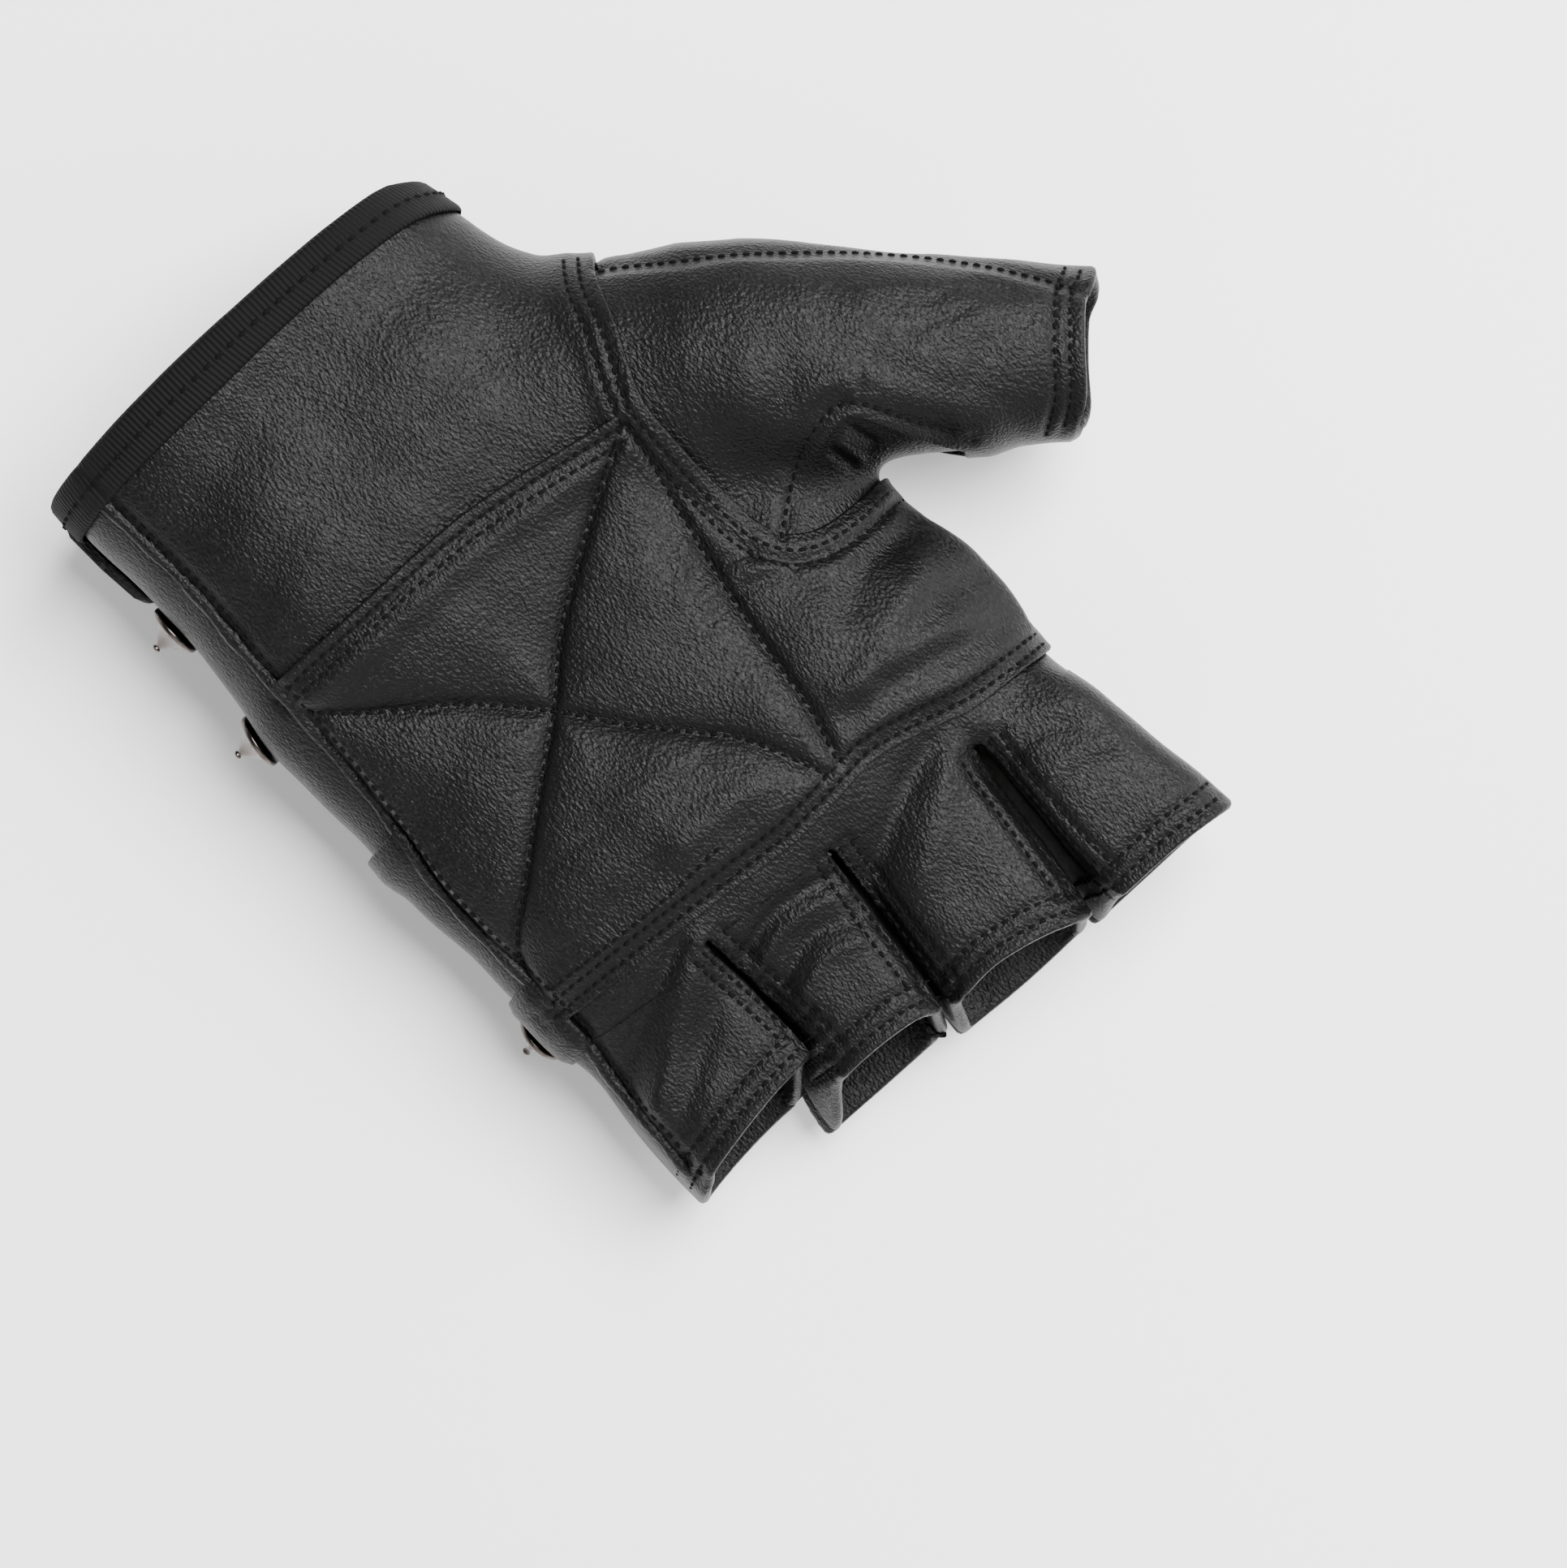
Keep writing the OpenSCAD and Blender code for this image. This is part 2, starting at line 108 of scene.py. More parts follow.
# The studio's walls are bright and its ceiling dim, so the leather stays black from above
world = bpy.data.worlds.new("studio")
bpy.context.scene.world = world
world.use_nodes = True
sky = world.node_tree
where = sky.nodes.new("ShaderNodeTexCoord")
split = sky.nodes.new("ShaderNodeSeparateXYZ")
glow = sky.nodes.new("ShaderNodeMapRange")
glow.interpolation_type = "SMOOTHSTEP"
glow.inputs["From Min"].default_value = 0.15
glow.inputs["From Max"].default_value = 0.72
glow.inputs["To Min"].default_value = 2
glow.inputs["To Max"].default_value = 0.1
sky.links.new(where.outputs["Generated"], split.inputs["Vector"])
sky.links.new(split.outputs["Z"], glow.inputs["Value"])
sky.links.new(glow.outputs["Result"], sky.nodes["Background"].inputs["Strength"])
sky.nodes["Background"].inputs["Color"].default_value = (1, 1, 1, 1)

# ------------------------------------------------------------------------------------------
# The hand's form. A glove takes the shape of the hand that wears it, so its leather is first
# shaped as one closed skin round the form, and the panels are then cut from that skin along
# their seams. Every section is [height, thumb edge, little edge, palm, back].
SECTIONS = np.array(
    [
        [-66, -28.0, 37.9, 46.0, 8.2],
        [-57, -28.6, 38.9, 45.8, 7.6],
        [-50, -29.9, 38.5, 44.8, 7.0],
        [-42, -31.0, 38.3, 43.6, 6.5],
        [-34, -34.5, 38.8, 43.4, 6.0],
        [-26, -36.5, 40.4, 43.0, 5.6],
        [-18, -38.5, 42.5, 41.6, 5.4],
        [-8, -40.5, 42.8, 39.8, 5.2],
        [2, -42.0, 43.2, 38.6, 5.2],
        [13, -43.0, 44.3, 37.8, 5.4],
        [22, -43.3, 43.6, 37.0, 5.4],
        [32, -44.5, 43.8, 36.4, 5.4],
        [40, -44.5, 44.6, 35.4, 5.6],
        [47, -43.3, 43.8, 34.0, 6.2],
        [53, -42.6, 44.4, 32.6, 7.0],
        [60, -41.6, 45.6, 31.4, 7.8],
        [92, -44.8, 46.4, 30.0, 9.0],
    ]
)
STEP = 0.5
LOW = np.array([-94.0, -66.0, 1.0])
COUNT = np.array([294, 314, 100])


def along(at, knots, values, soften=2.5):
    """A value that runs smoothly through the knots of a pattern table."""
    fine = np.arange(knots[0] - 12, knots[-1] + 12, 0.5)
    reach = np.arange(-3 * soften, 3 * soften + 0.25, 0.5)
    weights = np.exp(-0.5 * (reach / soften) ** 2)
    ends = len(reach) // 2
    line = np.pad(np.interp(fine, knots, values), ends, mode="edge")
    return np.interp(at, fine, np.convolve(line, weights / weights.sum(), "valid"))


def oval(dx, dz, a, b, power):
    """Distance, near enough, to a soft-cornered oval of half sizes a and b."""
    u, v = np.abs(dx) / a + 1e-6, np.abs(dz) / b + 1e-6
    g = (u**power + v**power) ** (1 / power)
    slope = g ** (1 - power) * np.sqrt((u ** (power - 1) / a) ** 2 + (v ** (power - 1) / b) ** 2)
    return (g - 1) / slope


def join(f, g, round_by):
    """Union of two forms, with a fillet."""
    h = np.clip(0.5 + 0.5 * (g - f) / round_by, 0, 1)
    return g + (f - g) * h - round_by * h * (1 - h)


def carve(f, g, round_by):
    """Form f with form g cut out of it, the edge eased."""
    return -join(-f, g, round_by)


axes = [LOW[i] + STEP * np.arange(COUNT[i], dtype=np.float32) for i in range(3)]
gx, gy, gz = np.meshgrid(*axes, indexing="ij")
left, right, top, bottom = (
    along(axes[1], SECTIONS[:, 0], SECTIONS[:, c])[None, :, None] for c in range(1, 5)
)
PALM_POWER, FINGER_POWER, THUMB_POWER = 2.35, 3.3, 2.2
hand = oval(
    gx - (left + right) / 2, gz - (top + bottom) / 2, (right - left) / 2, (top - bottom) / 2, PALM_POWER
)

# The palm's hollow, the pads at the finger roots and the heel's two mounds
for px, py, height, spread in (
    (4, -2, -2.6, 17),
    (27, -30, 1.6, 15),
    (-31, 36, 1.5, 8),
    (-11, 33, 1.2, 8),
    (9, 29, 1.2, 8),
    (28, 25, 1.4, 9),
    (2, -48, -1.6, 12),
):
    near = np.exp(-((gx - px) ** 2 + (gy - py) ** 2) / (2 * spread**2))
    hand -= height * near * np.clip((gz - 20) / 10, 0, 1)

# Fingers: [root centre x, hem centre x, half width at the root, at the hem, lean, flare, palm, back]
FINGERS = {
    "index": [-33.5, -32.4, 9.4, 12.3, 1.7, 0.02, 31.6, 8.4],
    "middle": [-13.8, -9.0, 12.8, 13.6, 1.2, 0.03, 32.4, 8.0],
    "ring": [8.8, 15.0, 11.6, 12.0, 3.0, 0.09, 32.0, 8.4],
    "little": [31.6, 33.6, 13.0, 13.0, 2.6, -0.07, 30.8, 9.4],
}
ROOT_Y, HEM_Y = 50.0, 76.0
fingers = np.full(gx.shape, 99.0, np.float32)
beyond = slice(int((30 - LOW[1]) / STEP), None)
fx, fy, fz = gx[:, beyond], gy[:, beyond], gz[:, beyond]
for root_x, hem_x, root_w, hem_w, lean, flare, palm, back in FINGERS.values():
    u = (fy - ROOT_Y) / (HEM_Y - ROOT_Y)
    half = (palm - back) / 2
    w = np.clip((fz - (palm + back) / 2) / half, -1, 1)
    across = (fx - (root_x + (hem_x - root_x) * u) + lean * w) / (1 - flare * w)
    stall = oval(across, fz - (palm + back) / 2, root_w + (hem_w - root_w) * u, half, FINGER_POWER)
    fingers[:, beyond] = np.minimum(fingers[:, beyond], stall)
blend = np.clip((fy - 44) / 17, 0, 1)
blend = blend * blend * (3 - 2 * blend)
hand[:, beyond] = hand[:, beyond] * (1 - blend) + fingers[:, beyond] * blend

# Slits between the fingers, each a thin wedge: its line on the palm side, its line on the
# back, and its width at the palm side's root and hem
SLITS = (
    ([(-26.6, 52.8), (-25.9, 60), (-23.0, 83)], [(-25.0, 52.8), (-23.2, 60), (-19.2, 83)], 0.9, 3.9),
    ([(-2.0, 48.5), (-0.6, 58), (2.4, 77)], [(-1.2, 48.5), (0.6, 58), (5.0, 80)], 0.9, 0.9),
    ([(19.0, 45.0), (18.7, 56), (18.6, 66), (20.6, 72)], [(20.4, 45.0), (23.0, 56), (25.6, 66), (28.6,
        76)], 0.9, 0.9),
)
for palm_line, back_line, root_gap, hem_gap in SLITS:
    palm_line, back_line = np.array(palm_line), np.array(back_line)
    share = np.clip((gz - 9) / 21, 0, 1)
    y = axes[1]
    slit_x = along(y, back_line[:, 1], back_line[:, 0])[None, :, None] * (1 - share)
    slit_x = slit_x + along(y, palm_line[:, 1], palm_line[:, 0])[None, :, None] * share
    gap = np.interp(y, palm_line[[0, -1], 1], [root_gap, hem_gap])[None, :, None]
    gap = 0.9 + (gap - 0.9) * share
    wedge = np.maximum(np.abs(gx - slit_x) - gap / 2, palm_line[0, 1] - gy)
    hand = carve(hand, wedge, 0.45)

# The thumb, a tapering tube along a bent line: [x, y, z, half width, half thickness]
THUMB = np.array(
    [
        [-24, -24, 25, 13.0, 13.5],
        [-37, -13, 27, 17.5, 15.8],
        [-48.5, -1.5, 28, 16.2, 15.2],
        [-60, 9.3, 28, 13.8, 13.4],
        [-75.3, 25.8, 27, 12.3, 12.0],
        [-92, 44.0, 26, 11.6, 11.5],
    ]
)
line = np.linspace(0, len(THUMB) - 1, 31)
line = np.stack([along(line, np.arange(len(THUMB)), THUMB[:, c], 0.5) for c in range(5)], 1)
near_side = slice(0, int((-4 - LOW[0]) / STEP))
tx, ty, tz = gx[near_side], gy[near_side], gz[near_side]
best = np.full(tx.shape, 1e9, np.float32)
thumb = np.full(tx.shape, 99.0, np.float32)
for a, b in zip(line[:-1], line[1:]):
    run = b[:2] - a[:2]
    length = math.hypot(*run)
    t = np.clip(((tx[:, :, :1] - a[0]) * run[0] + (ty[:, :, :1] - a[1]) * run[1]) / length**2, 0, 1)
    off = np.hypot(tx[:, :, :1] - a[0] - t * run[0], ty[:, :, :1] - a[1] - t * run[1])
    mix = [a[c] + (b[c] - a[c]) * t for c in (2, 3, 4)]
    near = off < best[:, :, :1]
    best = np.where(near, off, best)
    thumb = np.where(near, oval(off, tz - mix[0], mix[1], mix[2], THUMB_POWER), thumb)
hand[near_side] = join(hand[near_side], thumb, 7.0)


def skin_of(field):
    """Surface of a form given on the grid, as points in pattern millimetres and four-sided faces."""
    inside = field < 0
    sizes = np.array(field.shape) - 1
    corner = [
        inside[i : sizes[0] + i, j : sizes[1] + j, k : sizes[2] + k]
        for i in (0, 1)
        for j in (0, 1)
        for k in (0, 1)
    ]
    total = sum(c.astype(np.int8) for c in corner)
    cells = np.argwhere((total > 0) & (total < 8))
    place = np.zeros((len(cells), 3))
    hits = np.zeros(len(cells))
    for axis in range(3):
        step = np.eye(3, dtype=int)[axis]
        for j in (0, 1):
            for k in (0, 1):
                start = np.insert([j, k], axis, 0)
                p, q = cells + start, cells + start + step
                v, w = field[tuple(p.T)], field[tuple(q.T)]
                cross = (v < 0) != (w < 0)
                share = np.where(cross, v / np.where(cross, v - w, 1), 0)
                place += (p + share[:, None] * step) * cross[:, None]
                hits += cross
    ids = np.full(sizes, -1, np.int32)
    ids[tuple(cells.T)] = np.arange(len(cells))
    faces = []
    for axis in range(3):
        step = np.eye(3, dtype=int)[axis]
        one, two = np.eye(3, dtype=int)[(axis + 1) % 3], np.eye(3, dtype=int)[(axis + 2) % 3]
        ahead = np.roll(inside, -1, axis)
        edges = np.argwhere(inside != ahead)
        edges = edges[np.all((edges > 0) & (edges < sizes), axis=1)]
        ring = [ids[tuple((edges - o).T)] for o in (one + two, two, one * 0, one)]
        ring = np.stack(ring, 1)
        turn = inside[tuple(edges.T)]
        ring[~turn] = ring[~turn][:, ::-1]
        faces.append(ring[np.all(ring >= 0, 1)])
    return LOW + STEP * place / hits[:, None], np.concatenate(faces)


def sample(field, points):
    """A grid field's value at points in pattern millimetres."""
    at = np.clip((points - LOW) / STEP, 0, np.array(field.shape) - 1.001)
    cell = at.astype(int)
    t = at - cell
    value = np.zeros(len(points))
    for i in (0, 1):
        for j in (0, 1):
            for k in (0, 1):
                weight = abs(1 - i - t[:, 0]) * abs(1 - j - t[:, 1]) * abs(1 - k - t[:, 2])
                value += weight * field[cell[:, 0] + i, cell[:, 1] + j, cell[:, 2] + k]
    return value


skin_points, skin_quads = skin_of(hand)
skin_normals = np.stack([sample(g, skin_points) for g in np.gradient(hand, STEP)], 1)
skin_normals /= np.linalg.norm(skin_normals, axis=1)[:, None]
for _ in range(2):
    miss = np.clip(sample(hand, skin_points), -0.3, 0.3)
    skin_points -= miss[:, None] * skin_normals


def curve(points, pitch=1.2):
    """A smooth line through pattern points, as points that far apart."""
    p = np.asarray(points, float)
    p = np.vstack([2 * p[0] - p[1], p, 2 * p[-1] - p[-2]])
    out = []
    for a, b, c, d in zip(p[:-3], p[1:-2], p[2:-1], p[3:]):
        steps = max(1, round(math.dist(b, c) / pitch))
        t = (np.arange(steps) / steps)[:, None]
        bend, twist = 2 * a - 5 * b + 4 * c - d, 3 * b - a - 3 * c + d
        out.append(b + 0.5 * ((c - a) * t + bend * t**2 + twist * t**3))
    return np.vstack(out + [p[-2:-1]])


def beside(line, gap):
    """The line moved sideways by gap, to its left."""
    way = np.gradient(line, axis=0)
    way /= np.linalg.norm(way, axis=1)[:, None]
    return line + gap * np.stack([-way[:, 1], way[:, 0]], 1)


def distance(points, line):
    """How far each point is, seen from above, from a line."""
    best = np.full(len(points), 1e9)
    x, y = points[:, 0], points[:, 1]
    for a, b in zip(line[:-1], line[1:]):
        rx, ry = b - a
        t = np.clip(((x - a[0]) * rx + (y - a[1]) * ry) / (rx * rx + ry * ry + 1e-9), 0, 1)
        best = np.minimum(best, (x - a[0] - t * rx) ** 2 + (y - a[1] - t * ry) ** 2)
    return np.sqrt(best)


def inside(*pieces):
    """A cut along a closed outline, seen from above: less than nought inside it."""
    ring = np.vstack(pieces + (pieces[0][:1],))

    def cut(points):
        x, y = points[:, 0], points[:, 1]
        within = np.zeros(len(points), bool)
        for a, b in zip(ring[:-1], ring[1:]):
            spans = (a[1] > y) != (b[1] > y)
            within ^= spans & (x < a[0] + (y - a[1]) * (b[0] - a[0]) / (b[1] - a[1] or 1))
        return distance(points, ring) * np.where(within, -1, 1)

    return cut


def smooth(value, start, end):
    t = np.clip((value - start) / (end - start), 0, 1)
    return t * t * (3 - 2 * t)


# The pattern's seam lines, seen from above the palm
UPPER_SEAM = curve([(-24.4, -13.2), (-10, -16.9), (0, -18.9), (10, -19.9), (20, -20.4), (36, -21.6)])
LOWER_SEAM = curve(
    [(-46, 51.2), (-42, 50.8), (-35, 49.7), (-30, 48.6), (-20, 45.1), (-15, 43.8), (-10, 43.8), (0,
        43.8), (10, 42.4),
     (20, 40.9), (35, 38.9), (42, 38.2)]
)
THUMB_SEAM = curve(
    [(-38, -32.0), (-35.5, -28.5), (-33, -22.5), (-30, -17), (-28, -12), (-27.4, -6), (-27, 0), (-26.8, 8),
     (-27.5, 12), (-29.5, 15.3), (-33, 17.3), (-38, 18.2), (-43, 18.3), (-47, 18.6)]
)
GUSSET_SEAM = curve(
    [(-28.5, 15.3), (-32, 13), (-36, 10.6), (-40, 8.9), (-44, 8.3), (-46.6, 8.9), (-48.2, 11.4), (-50, 15),
     (-52.4, 19.4), (-55.2, 23.6)]
)
THUMB_SIDE = curve(
    [(-37, -30.3), (-40, -28.2), (-45, -23.8), (-50, -19.6), (-55, -15.2), (-60, -10.3), (-65, -5.2),
        (-70, 0.9),
     (-75, 8.0), (-80, 16.6), (-83, 23), (-88, 33)]
)
SIDE_SEAM = curve(
    [(32.6, -64), (32.8, -40), (33.8, -30), (34.5, -22), (35.5, -10), (36.8, 0), (38, 7), (39, 12),
        (39.7, 20),
     (39.8, 30), (40, 37), (40.5, 43), (42, 50), (43, 60), (44, 67), (45, 80)]
)
QUILTING = (
    curve([(-11.5, 40.6), (-14, 33), (-16, 22), (-17.5, 15), (-19, 9), (-21.5, 0), (-23.5, -7),
        (-24.5, -11)]),
    curve([(-24, -12), (-18, -9.5), (-10, -5.5), (0, 0), (5, 3.5), (10.4, 8), (20, 14.5), (30, 21.5),
        (36, 25.5), (39.5, 29.5)]),
    curve([(-9, 40.6), (-5, 30), (0, 23), (5, 16.5), (10.4, 8.4), (18, -1), (25, -7), (30, -11.5),
        (34.5, -16.5)]),
)
FINGER_HEMS = (
    curve([(-47, 84.2), (-44.5, 83.4), (-35, 81.9), (-23, 81.2)]),
    curve([(-23, 81.0), (-21.3, 80.4), (-15, 77.6), (-10, 76), (-5, 75.1), (4, 75.4)]),
    curve([(1, 75.6), (5, 73.2), (9, 72.1), (15, 71.3), (23, 70.9)]),
    curve([(16, 65.9), (25, 65.7), (30, 65.9), (38, 66.8), (43, 67.8), (48, 70.4)]),
)
BACK_HEMS = (
    curve([(-52, 84.0), (-36, 83.4), (-16, 82.2)]),
    curve([(-26, 82.0), (-8, 81.2), (9, 79.0)]),
    curve([(-1, 78.2), (14, 77.2), (32, 75.6)]),
    curve([(18, 70.4), (34, 69.4), (52, 70.2)]),
)
# The palm's edge on each side of each slit, by its finger and the side it is sewn on
SLIT_EDGES = {
    ("index", 1): curve([(-27.4, 53.2), (-26.2, 58), (-25.6, 65), (-25.1, 70), (-24.9, 75), (-25.1, 78.5)]),
    ("middle", -1): curve([(-26.0, 53.2), (-25, 59), (-24, 65), (-23, 70), (-22.3, 75), (-21.6, 77)]),
    ("middle", 1): curve([(-2.4, 48.8), (-1.3, 55), (-0.1, 62), (0.9, 69), (1.7, 72.5)]),
    ("ring", -1): curve([(-2.0, 48.8), (-0.9, 55), (0.4, 62), (1.4, 69), (1.9, 71.5)]),
    ("ring", 1): curve([(18.8, 45.4), (18.5, 56), (18.4, 65), (19.2, 68)]),
    ("little", -1): curve([(19.3, 45.4), (19.0, 56), (18.9, 63)]),
}
THUMB_HEM = curve([(-62, 35.2), (-66.1, 33.1), (-70, 30.7), (-75, 25.5), (-80, 20.9), (-83.2, 19.6),
    (-85.6, 18.2), (-90, 15)])
CUFF_EDGE = curve([(-40, -54.0), (-30, -55.6), (-27, -57), (-23.5, -58.3), (-10, -59.5), (0, -60.2),
    (13, -60.9), (36.5, -61.4), (45, -61.5)])
CUFF_SEAM = curve([(-42, -47.5), (-30, -49.2), (-25, -51.2), (-20, -52.3), (-10, -53.4), (0, -54),
    (10, -54.2), (20, -54.6), (30, -55), (45, -55.2)])

# ------------------------------------------------------------------------------------------
# Leather that has been worn: the foam puffs the palm between its quilting, each row of
# stitches pulls a furrow, and the skin folds where the hand closes.
facing = smooth(skin_normals[:, 2], 0.15, 0.55)
pad_side = SIDE_SEAM[(SIDE_SEAM[:, 1] > -20) & (SIDE_SEAM[:, 1] < 38)]
in_pad = inside(UPPER_SEAM, pad_side, LOWER_SEAM[::-1], THUMB_SEAM[::-1][:-14])(skin_points)
pad_rows = [beside(LOWER_SEAM, -1.7), beside(UPPER_SEAM, 1.8), beside(THUMB_SEAM, -3.2)]
to_quilting = np.min([distance(skin_points, q) for q in QUILTING], axis=0)
to_pad_rows = np.min([distance(skin_points, r) for r in pad_rows], axis=0)
puff = 1.75 * (1 - np.exp(-to_quilting / 3.4)) * (1 - np.exp(-to_pad_rows / 3.0)) * smooth(-in_pad, 0, 2)
rise = puff * facing

# Folds: [line, height, half width]; a furrow is a fold of negative height
FOLDS = (
    ([(-4, 36.5), (3, 34.4), (12, 33.4)], 0.9, 3.2),
    ([(0, 27.5), (10, 26.0), (19, 23.4), (28, 22.5)], -0.16, 0.8),
    ([(1, 25.8), (10, 24.3), (19, 21.8)], 0.12, 0.9),
    ([(-42, 37), (-34, 34.5), (-24, 36.5)], -0.55, 2.2),
    ([(-38, 30), (-30, 34), (-21, 36.5)], 0.7, 2.6),
    ([(-41, 26), (-34, 24.8), (-27, 27.5)], -0.6, 2.4),
    ([(-36, 42.5), (-26, 39), (-17, 38)], -0.6, 2.0),
    ([(-36, 39.5), (-26, 36), (-18, 34)], 0.4, 1.6),
    ([(-28, 50.5), (-20, 53.5), (-8, 60)], 1.0, 3.0),
    ([(-22, 48.5), (-14, 50.5), (-4, 55)], -0.8, 2.0),
    ([(20, 45), (28, 49), (40, 56)], 1.1, 2.4),
    ([(22, 42.6), (31, 45.6), (40, 50)], -0.7, 1.8),
    ([(24, 52), (32, 56), (40, 60.5)], -0.5, 1.8),
    ([(-1, 52), (4, 50), (10, 49), (18, 50.5)], -0.6, 1.2),
    ([(0, 54.4), (5, 52.4), (11, 51.6), (17, 53)], 0.55, 1.2),
    ([(2, 57.5), (8, 55), (15, 56.5)], -0.5, 1.1),
    ([(3, 60.5), (9, 58.4), (15, 59.8)], 0.45, 1.2),
    ([(-38, 60), (-33, 57.5), (-28, 58)], -0.45, 1.6),
    ([(-40, 66), (-34, 63), (-28, 63.6)], 0.4, 1.8),
    ([(-28, -36), (-12, -40), (8, -41), (30, -37)], 0.3, 4.5),
    ([(-26, -45), (-10, -48), (10, -48.6), (30, -46)], -0.25, 3.5),
    ([(-24, -30), (-8, -33.6), (14, -34), (30, -30)], -0.2, 3.2),
    ([(-70, 8), (-66, 3.5), (-60, -1)], 0.2, 1.6),
    ([(-74, 13), (-69, 8), (-65, 6)], -0.2, 1.1),
    ([(-76, 17), (-70, 13), (-64, 12)], 0.15, 1.2),
    ([(-72, 18), (-66, 16), (-61, 18)], -0.18, 1.1),
    ([(-68, 10.6), (-62, 8), (-55, 9)], -0.18, 1.1),
    ([(-47, 6.4), (-42, 5.4), (-36, 7.5)], -0.9, 1.9),
    ([(-50, 8), (-52.4, 14), (-55, 19)], -0.5, 1.6),
    ([(-46, 14), (-45.2, 11)], -0.5, 0.7),
    ([(-43.6, 14.4), (-43, 11)], 0.4, 0.7),
    ([(-42, 14), (-41.4, 11)], -0.4, 0.7),
    ([(-24, 13), (-20, 10), (-16, 9)], -0.35, 0.8),
    ([(-25, 16), (-19, 12.6), (-14, 12)], 0.3, 0.8),
    ([(-26, 18.6), (-20, 15.6), (-13, 15)], -0.3, 0.8),
    ([(-21, 4), (-17, 6), (-12, 10)], 0.25, 0.8),
    ([(-38, -24), (-44, -14), (-46, -4), (-42, 2)], -0.35, 3.5),
)
for fold, height, wide in FOLDS:
    fold = curve(fold, 2.0)
    from_middle = np.hypot(*(skin_points[:, :2] - fold[len(fold) // 2]).T)
    taper = np.clip(1.6 - from_middle / (0.62 * math.dist(fold[0], fold[-1]) + 1), 0, 1)
    rise += height * np.exp(-((distance(skin_points, fold) / wide) ** 2)) * taper * facing

# Furrows along the stitches: [seam, the gaps of its rows]
FURROW_DEPTH, FURROW_WIDE = 0.38, 0.75
rows = [(line, (0,)) for line in QUILTING]
rows += [(UPPER_SEAM, (1.4, 3.1)), (LOWER_SEAM, (-0.9, -2.7)), (THUMB_SEAM, (-1.8, -3.7))]
rows += [(GUSSET_SEAM, (1.3,)), (THUMB_SIDE, (-0.9,)), (SIDE_SEAM, (1.1,)), (THUMB_HEM, (1.5, 3.6))]
rows += [(hem, (-1.3, -3.7)) for hem in FINGER_HEMS]
rows += [(edge, (side * 0.9, side * 2.7)) for (_, side), edge in SLIT_EDGES.items()]
for line, gaps in rows:
    for gap in gaps:
        away = distance(skin_points, beside(line, gap))
        rise -= FURROW_DEPTH * np.exp(-((away / FURROW_WIDE) ** 2)) * facing

# Slow waves, so that no stretch of leather is quite flat
px, py, pz = skin_points.T
across, down = 0.21 * px + 0.9 * np.sin(0.11 * py), 0.17 * py + 0.7 * np.sin(0.13 * px + 2)
rise += 0.22 * np.sin(across) * np.sin(down + 0.1 * pz)
rise += 0.10 * np.sin(0.43 * px - 0.2 * py + 1.3) * np.sin(0.37 * py + 0.25 * px + 0.6 + 0.2 * pz)

faces = np.vstack([skin_quads[:, :3], skin_quads[:, [0, 2, 3]]])


def normals_of(points, faces):
    corners = points[faces]
    cross = np.cross(corners[:, 1] - corners[:, 0], corners[:, 2] - corners[:, 0])
    flat = faces.ravel()
    out = np.stack([np.bincount(flat, np.repeat(cross[:, c], 3), len(points)) for c in range(3)], 1)
    return out / (np.linalg.norm(out, axis=1)[:, None] + 1e-12)


worn_points = skin_points + rise[:, None] * skin_normals
SKIN = (np.hstack([skin_points, worn_points, normals_of(worn_points, faces), skin_normals]), faces)


def trim(points, faces, value):
    """What is left of a skin where the value is below nought."""
    kept = value < 0
    held = kept[faces].sum(1)
    whole, one, two = faces[held == 3], faces[held == 1], faces[held == 2]
    lone = np.argmax(kept[one], 1)[:, None]
    one = np.take_along_axis(one, (lone + [0, 1, 2]) % 3, 1)
    lone = np.argmin(kept[two], 1)[:, None]
    two = np.take_along_axis(two, (lone + [0, 1, 2]) % 3, 1)
    edges = np.vstack([one[:, :2], one[:, [0, 2]], two[:, :2], two[:, [0, 2]]])
    edges, which = np.unique(np.sort(edges, 1), axis=0, return_inverse=True)
    which = which.ravel()
    a, b = value[edges[:, 0]], value[edges[:, 1]]
    share = (a / (a - b))[:, None]
    fresh = points[edges[:, 0]] * (1 - share) + points[edges[:, 1]] * share
    new = len(points) + which
    p, q, r, s = np.split(new, np.cumsum([len(one), len(one), len(two)]))
    tips = np.stack([one[:, 0], p, q], 1)
    stumps = [np.stack([r, two[:, 1], two[:, 2]], 1), np.stack([r, two[:, 2], s], 1)]
    faces = np.vstack([whole, tips, *stumps])
    used, faces = np.unique(faces, return_inverse=True)
    return np.vstack([points, fresh])[used], faces.reshape(-1, 3)


def piece(name, points, faces, normals=None):
    """A mesh in the scene from points in pattern millimetres."""
    mesh = bpy.data.meshes.new(name)
    if normals is None:
        a, b, c = (points[[face[k] for face in faces]] - points.mean(0) for k in range(3))
        if np.sum(a * np.cross(b, c)) < 0:
            faces = [face[::-1] for face in faces]
    mesh.from_pydata(metres(points).tolist(), [], faces if isinstance(faces, list) else faces.tolist())
    mesh.shade_smooth()
    if normals is not None:
        mesh.normals_split_custom_set_from_vertices(normals.tolist())
    body = bpy.data.objects.new(name, mesh)
    bpy.context.scene.collection.objects.link(body)
    return body


outsides = []
LEATHER = 1.15
EDGE_BULGE = 0.75


